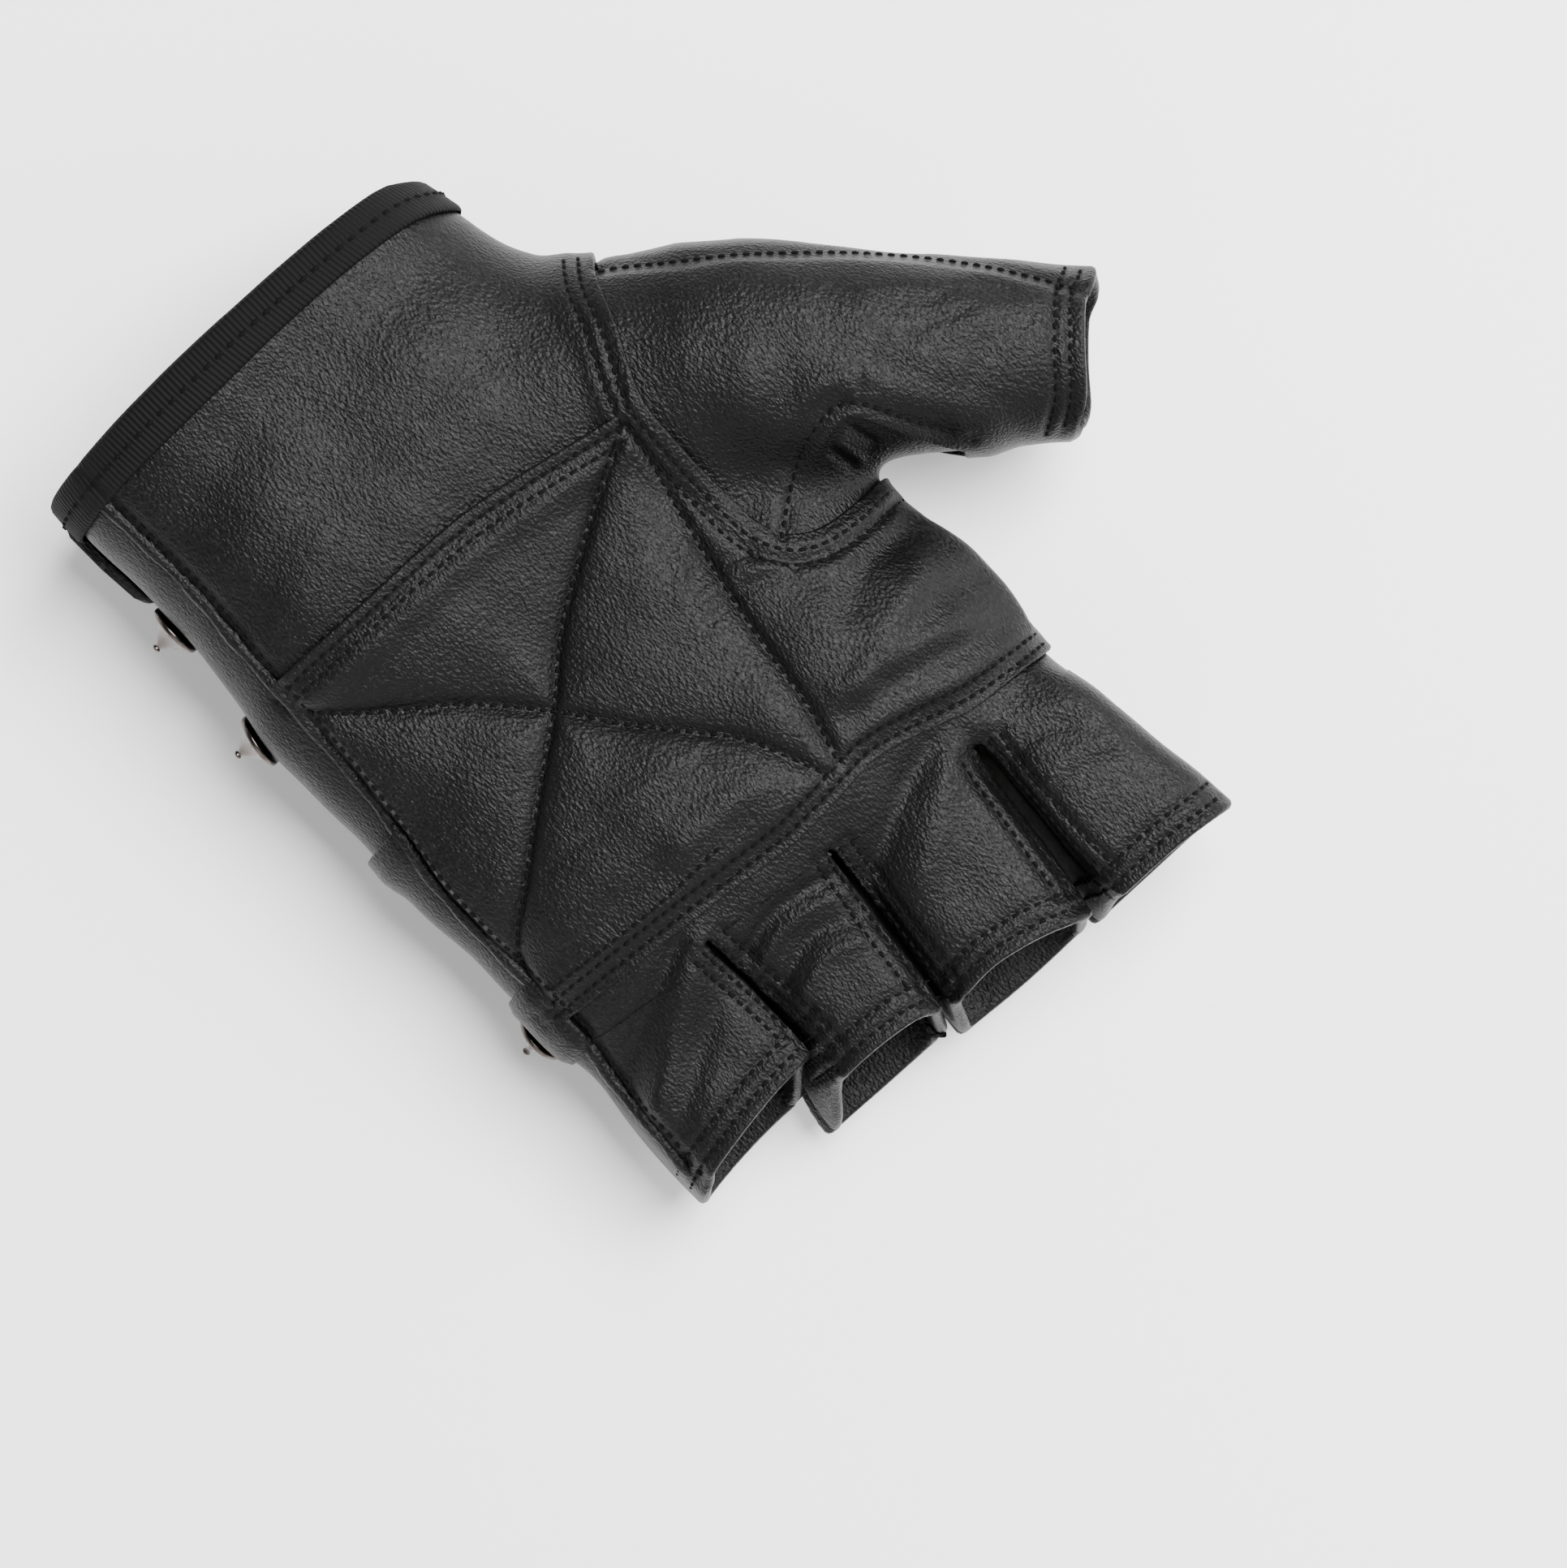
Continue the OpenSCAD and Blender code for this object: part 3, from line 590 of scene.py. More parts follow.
def panel(name, cuts, start=SKIN, leather=LEATHER, lift=0.0):
    """One leather panel, cut from the skin. Each cut is its kind and its edge: tuck is an edge turned
    in at a seam, fold one pressed flat, lip one that laps over its neighbour, under one that runs
    beneath it, hem a turned and stitched opening, hinge the line where a stall begins, and root its
    neighbour's edge beneath."""
    points, faces = start
    for kind, edge in cuts:
        points, faces = trim(points, faces, edge(points[:, :3]))
    shift, thick = np.full(len(points), lift), np.full(len(points), leather or 0.1)
    from_hinge = np.full(len(points), 9.0)
    if leather is None:
        thick += 0.85 * np.maximum(points[:, 12], 0)
    for kind, edge in cuts:
        depth = -edge(points[:, :3])
        if kind == "tuck":
            shift -= 0.5 * np.exp(-((depth / 0.8) ** 2))
        if kind == "fold":
            shift -= 0.2 * np.exp(-((depth / 0.6) ** 2))
        if kind == "lip":
            shift += 1.1 * (1 - smooth(depth, 2.5, 8))
        if kind == "under":
            shift -= 0.15
        if kind == "hem":
            thick += 0.75 * (1 - smooth(depth, 3.6, 5.2))
        if kind == "root":
            shift -= 0.025 * (1 - smooth(depth, 0.8, 2.0))
        if kind in ("hinge", "root"):
            from_hinge = np.minimum(from_hinge, depth)
    form_way = points[:, 9:12] / np.linalg.norm(points[:, 9:12], axis=1)[:, None]
    outer = points[:, 3:6] + shift[:, None] * form_way
    normals = normals_of(outer, faces)
    near = (1 - smooth(from_hinge, 0.2, 1.5))[:, None]
    normals = normals * (1 - near) + points[:, 6:9] * near
    normals /= np.linalg.norm(normals, axis=1)[:, None]
    outsides.append((outer, faces))

    pairs = np.vstack([faces[:, [0, 1]], faces[:, [1, 2]], faces[:, [2, 0]]])
    keys = pairs[:, 0].astype(np.int64) * len(outer) + pairs[:, 1]
    rim = pairs[~np.isin(keys, pairs[:, 1].astype(np.int64) * len(outer) + pairs[:, 0])]
    out = np.zeros_like(outer)
    away = np.cross(outer[rim[:, 1]] - outer[rim[:, 0]], normals[rim[:, 0]])
    for end in (0, 1):
        np.add.at(out, rim[:, end], away)
    for _ in range(6):
        mean = np.zeros_like(out)
        np.add.at(mean, rim[:, 0], out[rim[:, 1]])
        np.add.at(mean, rim[:, 1], out[rim[:, 0]])
        out = out + mean
        out /= np.linalg.norm(out, axis=1)[:, None] + 1e-9
    out *= (EDGE_BULGE * smooth(from_hinge, 0.02, 0.3))[:, None]

    ends, spot = np.unique(rim, return_inverse=True)
    spot = spot.reshape(-1, 2)
    rows, row_normals = [outer, outer - thick[:, None] * form_way], [normals, -normals]
    at = [ends]
    for turn in (45, 90, 135):
        s, c = math.sin(math.radians(turn)), math.cos(math.radians(turn))
        half = thick[ends, None] / 2
        at.append(sum(len(r) for r in rows) + np.arange(len(ends)))
        rows.append(outer[ends] + half * ((c - 1) * form_way[ends] + s * out[ends]))
        row_normals.append(c * normals[ends] + s * out[ends])
    at.append(ends + len(outer))
    strips = []
    for near_ring, far_ring in zip(at[:-1], at[1:]):
        a, b = near_ring[spot[:, 0]], near_ring[spot[:, 1]]
        c, d = far_ring[spot[:, 1]], far_ring[spot[:, 0]]
        strips += [np.stack([b, a, d], 1), np.stack([b, d, c], 1)]
    mesh_faces = np.vstack([faces, faces[:, ::-1] + len(outer)] + strips)
    return piece(name, np.vstack(rows), mesh_faces, np.vstack(row_normals))

# ------------------------------------------------------------------------------------------
# Where each stall begins and ends. A finger or thumb stall swings about its hinge in the frame,
# so its panels are cut from the hand's on the hinge's line.
HINGES = {}
for joint in frame["joints"]:
    turn = np.array(joint["axis"][:2])
    place = np.array(joint["pos_m"]) * 1000 - AXIS
    HINGES[joint["child"]] = (place, np.array([-turn[1], turn[0]]) / np.hypot(*turn))
FINGER_STALLS = ("index_stall", "middle_stall", "ring_stall", "little_stall")


def slit_at(number, y, z):
    """Where the slit after a finger runs, at this height on the palm or the back."""
    palm, back = (np.interp(y, line[:, 1], line[:, 0]) for line in map(np.array, SLITS[number][:2]))
    share = np.clip((z - 9) / 21, 0, 1)
    return (1 - share) * back + share * palm


def finger_of(points):
    return sum((points[:, 0] > slit_at(k, points[:, 1], points[:, 2])).astype(int) for k in range(3))


def past_hinge(points, stall):
    at, way = HINGES[stall]
    return (points[:, :2] - at[:2]) @ way


def below_hinges(points):
    which = finger_of(points)
    return np.choose(which, [past_hinge(points, stall) for stall in FINGER_STALLS])


def stall_cut(number):
    return lambda p: np.where(finger_of(p) == number, -past_hinge(p, FINGER_STALLS[number]), 1.0)


def hem_cut(number):
    def cut(p):
        hems = FINGER_HEMS[number], BACK_HEMS[number]
        palm, back = (np.interp(p[:, 0], hem[:, 0], hem[:, 1]) for hem in hems)
        share = smooth(p[:, 2], 12, 27)
        return p[:, 1] - share * palm - (1 - share) * back

    return cut


def past_side(p):
    return p[:, 0] - np.interp(p[:, 1], SIDE_SEAM[:, 1], SIDE_SEAM[:, 0])


def front_face(p):
    return 20 - p[:, 2]


def back_face(p):
    return -np.maximum(20 - p[:, 2], past_side(p))


def stall_edge(number, at_slit):
    """Height of a stall's side seam: at its slits this high, at the hand's edge half way up."""

    def height(p):
        root_x, hem_x = list(FINGERS.values())[number][:2]
        middle = root_x + (hem_x - root_x) * (p[:, 1] - ROOT_Y) / (HEM_Y - ROOT_Y)
        slit = np.ones(len(p))
        if number == 0:
            slit = smooth(p[:, 0] - middle, -4, 4)
        if number == 3:
            slit = smooth(middle - p[:, 0], -4, 4)
        return 20 + (at_slit - 20) * slit

    return height


def joined(body):
    """A stall's piece, with its transform baked into its points."""
    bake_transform(body)


FAR = 90
ROUND_THUMB = [(-50, FAR), (-120, FAR), (-120, -60), (-60, -60), (-50, -36)]
thumb_front_edge = inside(beside(THUMB_SEAM, -2.5), ROUND_THUMB)
thumb_back_seam = curve([(-39, -33.5), (-34.5, -20), (-34, -5), (-37, 8), (-43.5, 18.3), (-48, 19)])
thumb_back_edge = inside(thumb_back_seam, ROUND_THUMB)
thumb_inner_side = inside(THUMB_SIDE, [(-88, FAR), (FAR, FAR), (FAR, -60), (-30, -36)])
gusset_hole = inside(GUSSET_SEAM, [(-52.5, 27), (-40, 40), (-20, 40), (-20, 20)])
gusset_side = beside(THUMB_SEAM, -2.2)[::-1][: int(0.36 * len(THUMB_SEAM))]
gusset_shape = inside(beside(GUSSET_SEAM, 1.6), [(-53.5, 28), (-46, 30)], gusset_side)


def thumb_hem(p):
    side = inside(THUMB_HEM, [(-120, -20), (-120, -80), (FAR, -80), (FAR, 45)])(p)
    return side - 1.6 * (1 - smooth(p[:, 2], 16, 28))


def before_thumb(p):
    return past_hinge(p, "thumb_stall")


def past_thumb(p):
    return -past_hinge(p, "thumb_stall")


# ------------------------------------------------------------------------------------------
# Goatskin: the leather of the whole glove, dyed black through and finished with a soft sheen. Its
# finish is worked out from the leather's own place in space, in metres, so that it has one scale.
def nodes_of(tree, *kinds):
    """New nodes of these kinds."""
    return [tree.nodes.new(kind) for kind in kinds]


def new_material(name, roughness):
    material = bpy.data.materials.new(name)
    material.use_nodes = True
    shader = material.node_tree.nodes["Principled BSDF"]
    shader.inputs["Roughness"].default_value = roughness
    shader.inputs["Specular IOR Level"].default_value = 0.12
    return material, material.node_tree, shader


def wear(*bodies, material):
    for body in bodies:
        body.data.materials.append(material)


# Leather grain: fine pebbles, a little longer one way, with soft wrinkles and a worn sheen. The colour is
# darker in the ripples' valleys, painted shade in the grain's hollows.
grain = bpy.data.node_groups.new("leather_grain_and_valley_shade", "ShaderNodeTree")
for title, kind, way in (
    ("Depth", "NodeSocketFloat", "INPUT"),
    ("Color", "NodeSocketColor", "OUTPUT"),
    ("Roughness", "NodeSocketFloat", "OUTPUT"),
    ("Normal", "NodeSocketVector", "OUTPUT"),
):
    grain.interface.new_socket(title, in_out=way, socket_type=kind)
source, sink = nodes_of(grain, "NodeGroupInput", "NodeGroupOutput")
place, stretch = nodes_of(grain, "ShaderNodeTexCoord", "ShaderNodeMapping")
pebbles, ripples, wrinkles, patches = nodes_of(
    grain, "ShaderNodeTexVoronoi", "ShaderNodeTexNoise", "ShaderNodeTexNoise", "ShaderNodeTexNoise"
)
fine, coarse = nodes_of(grain, "ShaderNodeBump", "ShaderNodeBump")
valley_shade, shine = nodes_of(grain, "ShaderNodeMix", "ShaderNodeMapRange")
mix = grain.nodes.new("ShaderNodeMath")
links = grain.links
links.new(place.outputs["Object"], stretch.inputs["Vector"])
stretch.inputs["Rotation"].default_value = (0, 0, 0.5)
stretch.inputs["Scale"].default_value = (1.0, 0.62, 1.0)
for texture, scale in ((pebbles, 2700), (ripples, 2400), (wrinkles, 170), (patches, 28)):
    links.new(stretch.outputs["Vector"], texture.inputs["Vector"])
    texture.inputs["Scale"].default_value = scale
pebbles.feature = "SMOOTH_F1"
pebbles.inputs["Randomness"].default_value = 0.9
ripples.inputs["Detail"].default_value = 3
ripples.inputs["Distortion"].default_value = 0.6
wrinkles.inputs["Detail"].default_value = 2
wrinkles.inputs["Distortion"].default_value = 0.8
patches.inputs["Detail"].default_value = 3
mix.operation = "MULTIPLY_ADD"
mix.inputs[1].default_value = 0.8
links.new(pebbles.outputs["Distance"], mix.inputs[0])
links.new(ripples.outputs["Fac"], mix.inputs[2])
coarse.inputs["Strength"].default_value = 0.3
coarse.inputs["Distance"].default_value = 0.00016
links.new(wrinkles.outputs["Fac"], coarse.inputs["Height"])
fine.inputs["Distance"].default_value = 0.00032
links.new(source.outputs["Depth"], fine.inputs["Strength"])
links.new(mix.outputs["Value"], fine.inputs["Height"])
links.new(coarse.outputs["Normal"], fine.inputs["Normal"])
# Painted shade: the base colour follows the ripples, darker in their valleys and lighter on their crests.
valley_shade.data_type = "RGBA"
valley_shade.inputs["A"].default_value = (0.0004, 0.0004, 0.0004, 1)
valley_shade.inputs["B"].default_value = (0.0026, 0.0026, 0.0027, 1)
links.new(ripples.outputs["Fac"], valley_shade.inputs["Factor"])
shine.inputs["To Min"].default_value = 0.36
shine.inputs["To Max"].default_value = 0.48
links.new(patches.outputs["Fac"], shine.inputs["Value"])
links.new(valley_shade.outputs["Result"], sink.inputs["Color"])
links.new(shine.outputs["Result"], sink.inputs["Roughness"])
links.new(fine.outputs["Normal"], sink.inputs["Normal"])


def leather_material(name, depth):
    material, tree, shader = new_material(name, 0.42)
    group = tree.nodes.new("ShaderNodeGroup")
    group.node_tree = grain
    group.inputs["Depth"].default_value = depth
    shader.inputs["Specular IOR Level"].default_value = 0.14
    tree.links.new(group.outputs["Color"], shader.inputs["Base Color"])
    tree.links.new(group.outputs["Roughness"], shader.inputs["Roughness"])
    tree.links.new(group.outputs["Normal"], shader.inputs["Normal"])
    return material


goatskin = leather_material("black_goatskin", 0.62)

# ------------------------------------------------------------------------------------------
# Palm: four panels of black goatskin about 1.1 mm thick, stitched one over the other. The heel
# panel and the finger-root panel run beneath the quilted pad cover, whose edges lap over them
# and over the thumb's leather.
HINGE_LAP = 0.8
heel = panel(
    "heel_leather",
    [
        ("lip", inside([(-60, -80), (-60, -36)], THUMB_SEAM, [(-47, FAR), (FAR, FAR), (FAR, -80)])),
        ("under", inside(beside(UPPER_SEAM, 2.5), [(FAR, -18), (FAR, -80), (-80, -80), (-80, -8)])),
        ("tuck", front_face),
        ("tuck", past_side),
        ("under", inside(beside(CUFF_EDGE, 0.9), [(FAR, -60), (FAR, FAR), (-FAR, FAR), (-FAR, -53)])),
    ],
)
past_little = [(60, -21.6), (60, 38.2)]
past_index = [(-47.6, 51.3), (-47.6, 18.8)]
pad = panel(
    "palm_pad_leather",
    [
        ("lip", inside(UPPER_SEAM, past_little, LOWER_SEAM[::-1], past_index, THUMB_SEAM[::-1][:-12])),
        ("tuck", front_face),
        ("tuck", past_side),
    ],
)
finger_roots = panel(
    "finger_root_leather",
    [
        ("under", inside(beside(LOWER_SEAM, -2.5), [(FAR, 36), (FAR, 120), (-80, 120), (-80, 48.6)])),
        ("root", lambda p: below_hinges(p) - HINGE_LAP),
        ("tuck", front_face),
        ("tuck", past_side),
    ],
)
base_front = panel(
    "thumb_base_front_leather",
    [
        ("under", thumb_front_edge),
        ("lip", lambda p: -gusset_hole(p)),
        ("tuck", thumb_inner_side),
        ("tuck", front_face),
        ("root", lambda p: before_thumb(p) - HINGE_LAP),
    ],
)
gusset = panel("thumb_gusset_leather", [("under", gusset_shape), ("tuck", lambda p: 13 - p[:, 2])])
thumb_front = panel(
    "thumb_front_leather",
    [
        ("under", thumb_front_edge),
        ("lip", lambda p: -gusset_hole(p)),
        ("tuck", thumb_inner_side),
        ("tuck", front_face),
        ("hinge", past_thumb),
        ("hem", thumb_hem),
    ],
)
thumb_rear = [
    ("tuck", thumb_back_edge),
    ("tuck", lambda p: np.minimum(np.maximum(thumb_front_edge(p), thumb_inner_side(p)) * -1, p[:, 2] - 20)),
    ("under", lambda p: -np.maximum(gusset_shape(p), 13 - p[:, 2])),
]
base_back = panel("thumb_base_back_leather", thumb_rear + [("root", lambda p: before_thumb(p) - HINGE_LAP)])
thumb_back = panel("thumb_back_leather", thumb_rear + [("hinge", past_thumb), ("hem", thumb_hem)])
for body in (thumb_front, thumb_back, gusset):
    joined(body)

wear(heel, pad, finger_roots, base_front, base_back, gusset, thumb_front, thumb_back, material=goatskin)

# ------------------------------------------------------------------------------------------
# Back of the hand: a cuff panel with the vent cut in it, a middle panel lapped over it, a
# raised band across the knuckles and a panel that runs up to the fingers.
VENT = curve([(-7.6, -72), (-7.4, -54), (-5.4, -43.5), (-1, -38.8), (4, -37.8), (9, -38.8), (13.4,
    -43.5), (15.4, -54), (15.6, -72)])
vent_hole = inside(VENT)
off_thumb = ("under", lambda p: -thumb_back_edge(p) - 1.2)
back_half = [("tuck", back_face), off_thumb]
cuff_back = panel(
    "back_leather",
    back_half
    + [
        ("under", lambda p: p[:, 1] - 6.5),
        ("under", inside(beside(CUFF_EDGE, 0.9), [(FAR, -60), (FAR, FAR), (-FAR, FAR), (-FAR, -53)])),
        ("under", lambda p: np.where(p[:, 2] < 20, -vent_hole(p), -9.0)),
    ],
)
mid_back = panel(
    "mid_back_leather", back_half + [("lip", lambda p: 4 - p[:, 1]), ("under", lambda p: p[:, 1] - 35)]
)
BAND_AT, BAND_HALF, BAND_LIFT = 37.5, 5.9, 1.3
band = panel(
    "knuckle_band_leather",
    back_half + [("tuck", lambda p: np.abs(p[:, 1] - BAND_AT) - BAND_HALF)],
    lift=BAND_LIFT,
)
upper_back = panel(
    "upper_back_leather",
    back_half + [("under", lambda p: 40 - p[:, 1]), ("root", lambda p: below_hinges(p) - HINGE_LAP)],
)

wear(cuff_back, mid_back, band, upper_back, material=goatskin)

# ------------------------------------------------------------------------------------------
# Finger stalls: the front, the back and the narrow strips between them. The front's edges are
# crisp along the slits, and each end is turned in and stitched twice.
STALL_PANELS = {}
for number, stall in enumerate(FINGER_STALLS):
    finger = stall.split("_")[0]
    front_edge, back_edge = stall_edge(number, 26.3), stall_edge(number, 12.5)
    ends = [("hinge", stall_cut(number)), ("hem", hem_cut(number))]
    side = past_side if number == 3 else lambda p: np.full(len(p), -9.0)
    parts = {
        "front": [("fold", lambda p: front_edge(p) - p[:, 2]), ("tuck", side)],
        "fourchette": [
            ("fold", lambda p: p[:, 2] - front_edge(p)),
            ("tuck", lambda p: back_edge(p) - p[:, 2]),
            ("tuck", side),
        ],
        "back": [("tuck", lambda p: -np.maximum(back_edge(p) - p[:, 2], side(p)))],
    }
    for part, edges in parts.items():
        body = panel(f"{finger}_{part}_leather", ends + edges)
        joined(body)
        node = f"{finger}_{part}" + ("s" if part == "fourchette" and number in (1, 2) else "")
        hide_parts(node)
        STALL_PANELS[finger, part] = body

for body, node in (
    (heel, "heel_panel"),
    (pad, "palm_pad_cover"),
    (finger_roots, "finger_root_panel"),
    (base_front, "thumb_base_front"),
    (base_back, "thumb_base_back"),
    (gusset, "thumb_gusset"),
    (thumb_front, "thumb_front"),
    (thumb_back, "thumb_back"),
    (cuff_back, "back_panel"),
    (mid_back, "mid_back_panel"),
    (band, "knuckle_band"),
    (upper_back, "upper_back_panel"),
):
    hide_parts(node)
    if body not in (gusset, thumb_front, thumb_back):
        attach(body, "hand")

wear(*STALL_PANELS.values(), material=goatskin)

# ------------------------------------------------------------------------------------------
# Lining and foam: thin black cloth glued behind the leather, and a thin foam pad between the
# quilted cover and the lining.
LINING_DEEP, CLOTH = 1.35, 0.45
settled = skin_points + (np.minimum(rise, 0) - LINING_DEEP)[:, None] * skin_normals
LINING = (np.hstack([skin_points, settled, normals_of(settled, faces), skin_normals]), faces)
within_cuff = ("under", inside(beside(CUFF_EDGE, 3.5), [(FAR, -57), (FAR, FAR), (-FAR, FAR), (-FAR, -50)]))
within_stalls = [("under", lambda p: below_hinges(p) + 0.4), ("under", lambda p: before_thumb(p) - 6)]
palm_lining = panel(
    "palm_lining_cloth",
    [within_cuff, ("under", front_face), ("under", past_side), *within_stalls],
    start=LINING,
    leather=CLOTH,
)
off_vent = ("under", lambda p: np.where(p[:, 2] < 20, 2.5 - vent_hole(p), -9.0))
back_lining = panel(
    "back_lining_cloth", [within_cuff, ("under", back_face), *within_stalls, off_vent], start=LINING,
        leather=CLOTH
)
FOAM = (np.hstack([skin_points, worn_points - 1.2 * skin_normals, SKIN[0][:, 6:12], puff[:, None]]), faces)
foam_edge = [beside(UPPER_SEAM, 4), [(60, -18), (60, 36)], beside(LOWER_SEAM, -4)[::-1]]
foam = panel(
    "palm_foam",
    [
        ("under", inside(*foam_edge, beside(THUMB_SEAM, -5)[::-1][8:-16])),
        ("under", lambda p: past_side(p) + 2.5),
        ("under", lambda p: front_face(p) + 9),
    ],
    start=FOAM,
    leather=None,
)
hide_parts("palm_pad_foam")
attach(foam, "hand")
for body, node in ((palm_lining, "palm_lining"), (back_lining, "back_lining")):
    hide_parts(node)
    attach(body, "hand")
outsides = outsides[:-3]


def bumped(name, color, roughness, texture, settings, scale, depth, strength=0.6, uv=None):
    """A finish with one texture pressed into it; its colour is darker where the texture is low, painted
    shade in its hollows.
    """
    material, tree, shader = new_material(name, roughness)
    place, pattern, bump, hollow_shade_mix = nodes_of(
        tree, "ShaderNodeTexCoord", texture, "ShaderNodeBump", "ShaderNodeMix"
    )
    for key, value in settings.items():
        if key in pattern.inputs:
            pattern.inputs[key].default_value = value
        else:
            setattr(pattern, key, value)
    pattern.inputs["Scale"].default_value = scale
    tree.links.new(place.outputs["UV" if uv else "Object"], pattern.inputs["Vector"])
    height = pattern.outputs["Distance"] if texture.endswith("Voronoi") else pattern.outputs["Fac"]
    tree.links.new(height, bump.inputs["Height"])
    bump.inputs["Distance"].default_value = depth
    bump.inputs["Strength"].default_value = strength
    tree.links.new(bump.outputs["Normal"], shader.inputs["Normal"])
    # Painted shade: the base colour follows the bump's height, darker in the texture's hollows and lighter
    # on its tops.
    hollow_shade_mix.data_type = "RGBA"
    hollow_shade_mix.inputs["A"].default_value = (*[c * 0.6 for c in color], 1)
    hollow_shade_mix.inputs["B"].default_value = (*[c * 1.4 for c in color], 1)
    tree.links.new(height, hollow_shade_mix.inputs["Factor"])
    tree.links.new(hollow_shade_mix.outputs["Result"], shader.inputs["Base Color"])
    return material, shader


cloth, _ = bumped(
    "lining_cloth", (0.006, 0.006, 0.007), 0.85, "ShaderNodeTexVoronoi", {"Randomness": 0.3}, 1800, 0.0002
)
sponge, _ = bumped("foam_cells", (0.05, 0.05, 0.05), 0.9, "ShaderNodeTexVoronoi", {}, 900, 0.0005)
wear(palm_lining, back_lining, material=cloth)
wear(foam, material=sponge)

# ------------------------------------------------------------------------------------------
# Where trims and stitches sit: on the outside of the leather, found from above, from below or
# from the middle of the hand.
starts = np.cumsum([0] + [len(p) for p, f in outsides])
outer_points = np.vstack([p for p, f in outsides])
outer_faces = np.vstack([f + first for (p, f), first in zip(outsides, starts)])
outside_tree = BVHTree.FromPolygons(outer_points.tolist(), outer_faces.tolist())
skin_tree = BVHTree.FromPolygons(worn_points.tolist(), faces.tolist())


def laid(line, back=False):
    """A line seen from above, laid on the palm or on the back: its points and their outward ways."""
    places, ways = [], []
    for x, y in line:
        start, way = ((x, y, -20), (0, 0, 1)) if back else ((x, y, 80), (0, 0, -1))
        hit, normal, _, _ = outside_tree.ray_cast(Vector(start), Vector(way))
        if hit is None:
            places.append((np.nan,) * 3)
            ways.append((0, 0, 1))
            continue
        if normal.dot(Vector(way)) > 0:
            normal.negate()
        places.append(tuple(hit))
        ways.append(tuple(normal))
    return np.array(places), np.array(ways)


def round_hand(degrees, y):
    """The skin at an angle round the hand: 0 the little edge, 90 the palm, 180 the thumb, 270 the back."""
    edges = [np.interp(y, SECTIONS[:, 0], SECTIONS[:, c]) for c in range(1, 5)]
    c, s = math.cos(math.radians(degrees)), math.sin(math.radians(degrees))
    way = Vector(
        (
            (edges[1] - edges[0]) / 2 * math.copysign(abs(c) ** 0.85, c),
            0,
            (edges[2] - edges[3]) / 2 * math.copysign(abs(s) ** 0.78, s),
        )
    ).normalized()
    middle = Vector(((edges[0] + edges[1]) / 2, y, (edges[2] + edges[3]) / 2))
    hit, normal, _, _ = skin_tree.ray_cast(middle, way)
    return np.array(hit), np.array(normal)


def tube(rings):
    """Faces over rings of points, each ring closed on itself, with a cap at each end."""
    count, size = len(rings), len(rings[0])
    first = np.arange(count * size).reshape(count, size)
    here, ahead = first[:-1], first[1:]
    quads = np.stack([here, np.roll(here, -1, 1), np.roll(ahead, -1, 1), ahead], 2).reshape(-1, 4)
    return np.concatenate(rings), quads.tolist() + [first[0][::-1].tolist(), first[-1].tolist()]


black_thread, _ = bumped(
    "black_thread", (0.0004, 0.0004, 0.0004), 0.85, "ShaderNodeTexNoise", {"Detail": 3}, 3500, 0.0001
)


def sewn(name, rows, pitch=1.7, dash=1.2, thread=0.27):
    """Stitches along rows, each row the points it follows and the leather's outward way there."""
    rings, quads = [], []
    around = np.arange(6) * math.tau / 6
    for places, ways in rows:
        paces = np.linalg.norm(np.diff(places, axis=0), axis=1)
        run = np.concatenate([[0], np.cumsum(np.nan_to_num(paces, nan=0.5))])
        for k in range(int(run[-1] / pitch)):
            at = (k + 0.5) * pitch + np.array([-0.5, -0.36, 0, 0.36, 0.5]) * dash
            spot = np.stack([np.interp(at, run, places[:, c]) for c in range(3)], 1)
            up = np.stack([np.interp(at, run, ways[:, c]) for c in range(3)], 1)
            if np.isnan(spot).any() or np.ptp(spot[:, 2]) > 2.5:
                continue
            up /= np.linalg.norm(up, axis=1)[:, None]
            along_way = spot[-1] - spot[0]
            along_way /= np.linalg.norm(along_way)
            side = np.cross(up, along_way)
            spot = spot + up * np.array([-0.26, 0.0, 0.07, 0.0, -0.26])[:, None]
            wide = thread * np.array([0.5, 0.9, 1, 0.9, 0.5])
            ring = spot[:, None] + wide[:, None, None] * (
                np.cos(around)[None, :, None] * side[:, None] + np.sin(around)[None, :, None] * up[:, None]
            )
            points, ring_faces = tube(ring)
            shift = 30 * len(rings)
            rings.append(points)
            quads += [[v + shift for v in face] for face in ring_faces]
    body = piece(name, np.vstack(rings), quads)
    wear(body, material=black_thread)
    return body


hand_rows = [laid(q) for q in QUILTING]
hand_rows += [laid(beside(UPPER_SEAM, gap)) for gap in (1.4, 3.2)]
hand_rows += [laid(beside(LOWER_SEAM, gap)) for gap in (-0.9, -2.7)]
hand_rows += [laid(beside(curve([(8, 41.5), (20, 40.9), (35, 38.9), (40, 38.3)]), -4.1))]
hand_rows += [laid(beside(THUMB_SEAM, gap)) for gap in (-1.8, -3.8)]
side_row = beside(SIDE_SEAM[(SIDE_SEAM[:, 1] > -55) & (SIDE_SEAM[:, 1] < 46)], 1.2)
hand_rows.append(laid(side_row))
hand_rows += [laid([(x, y) for x in np.arange(-40, 45, 1.0)], back=True) for y in (6.4, 33.4, 41.8)]
hand_rows.append(laid(beside(VENT[(VENT[:, 1] > -58)], 2.4), back=True))
hand_stitches = sewn("hand_stitches", hand_rows)
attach(hand_stitches, "hand")

thumb_rows = [laid(beside(THUMB_HEM, gap)) for gap in (1.5, 3.6)]
thumb_rows += [laid(beside(GUSSET_SEAM, 1.3))]
thumb_rows += [laid(beside(THUMB_SIDE, -0.7))]
thumb_stitches = sewn("thumb_stitches", thumb_rows)
joined(thumb_stitches)

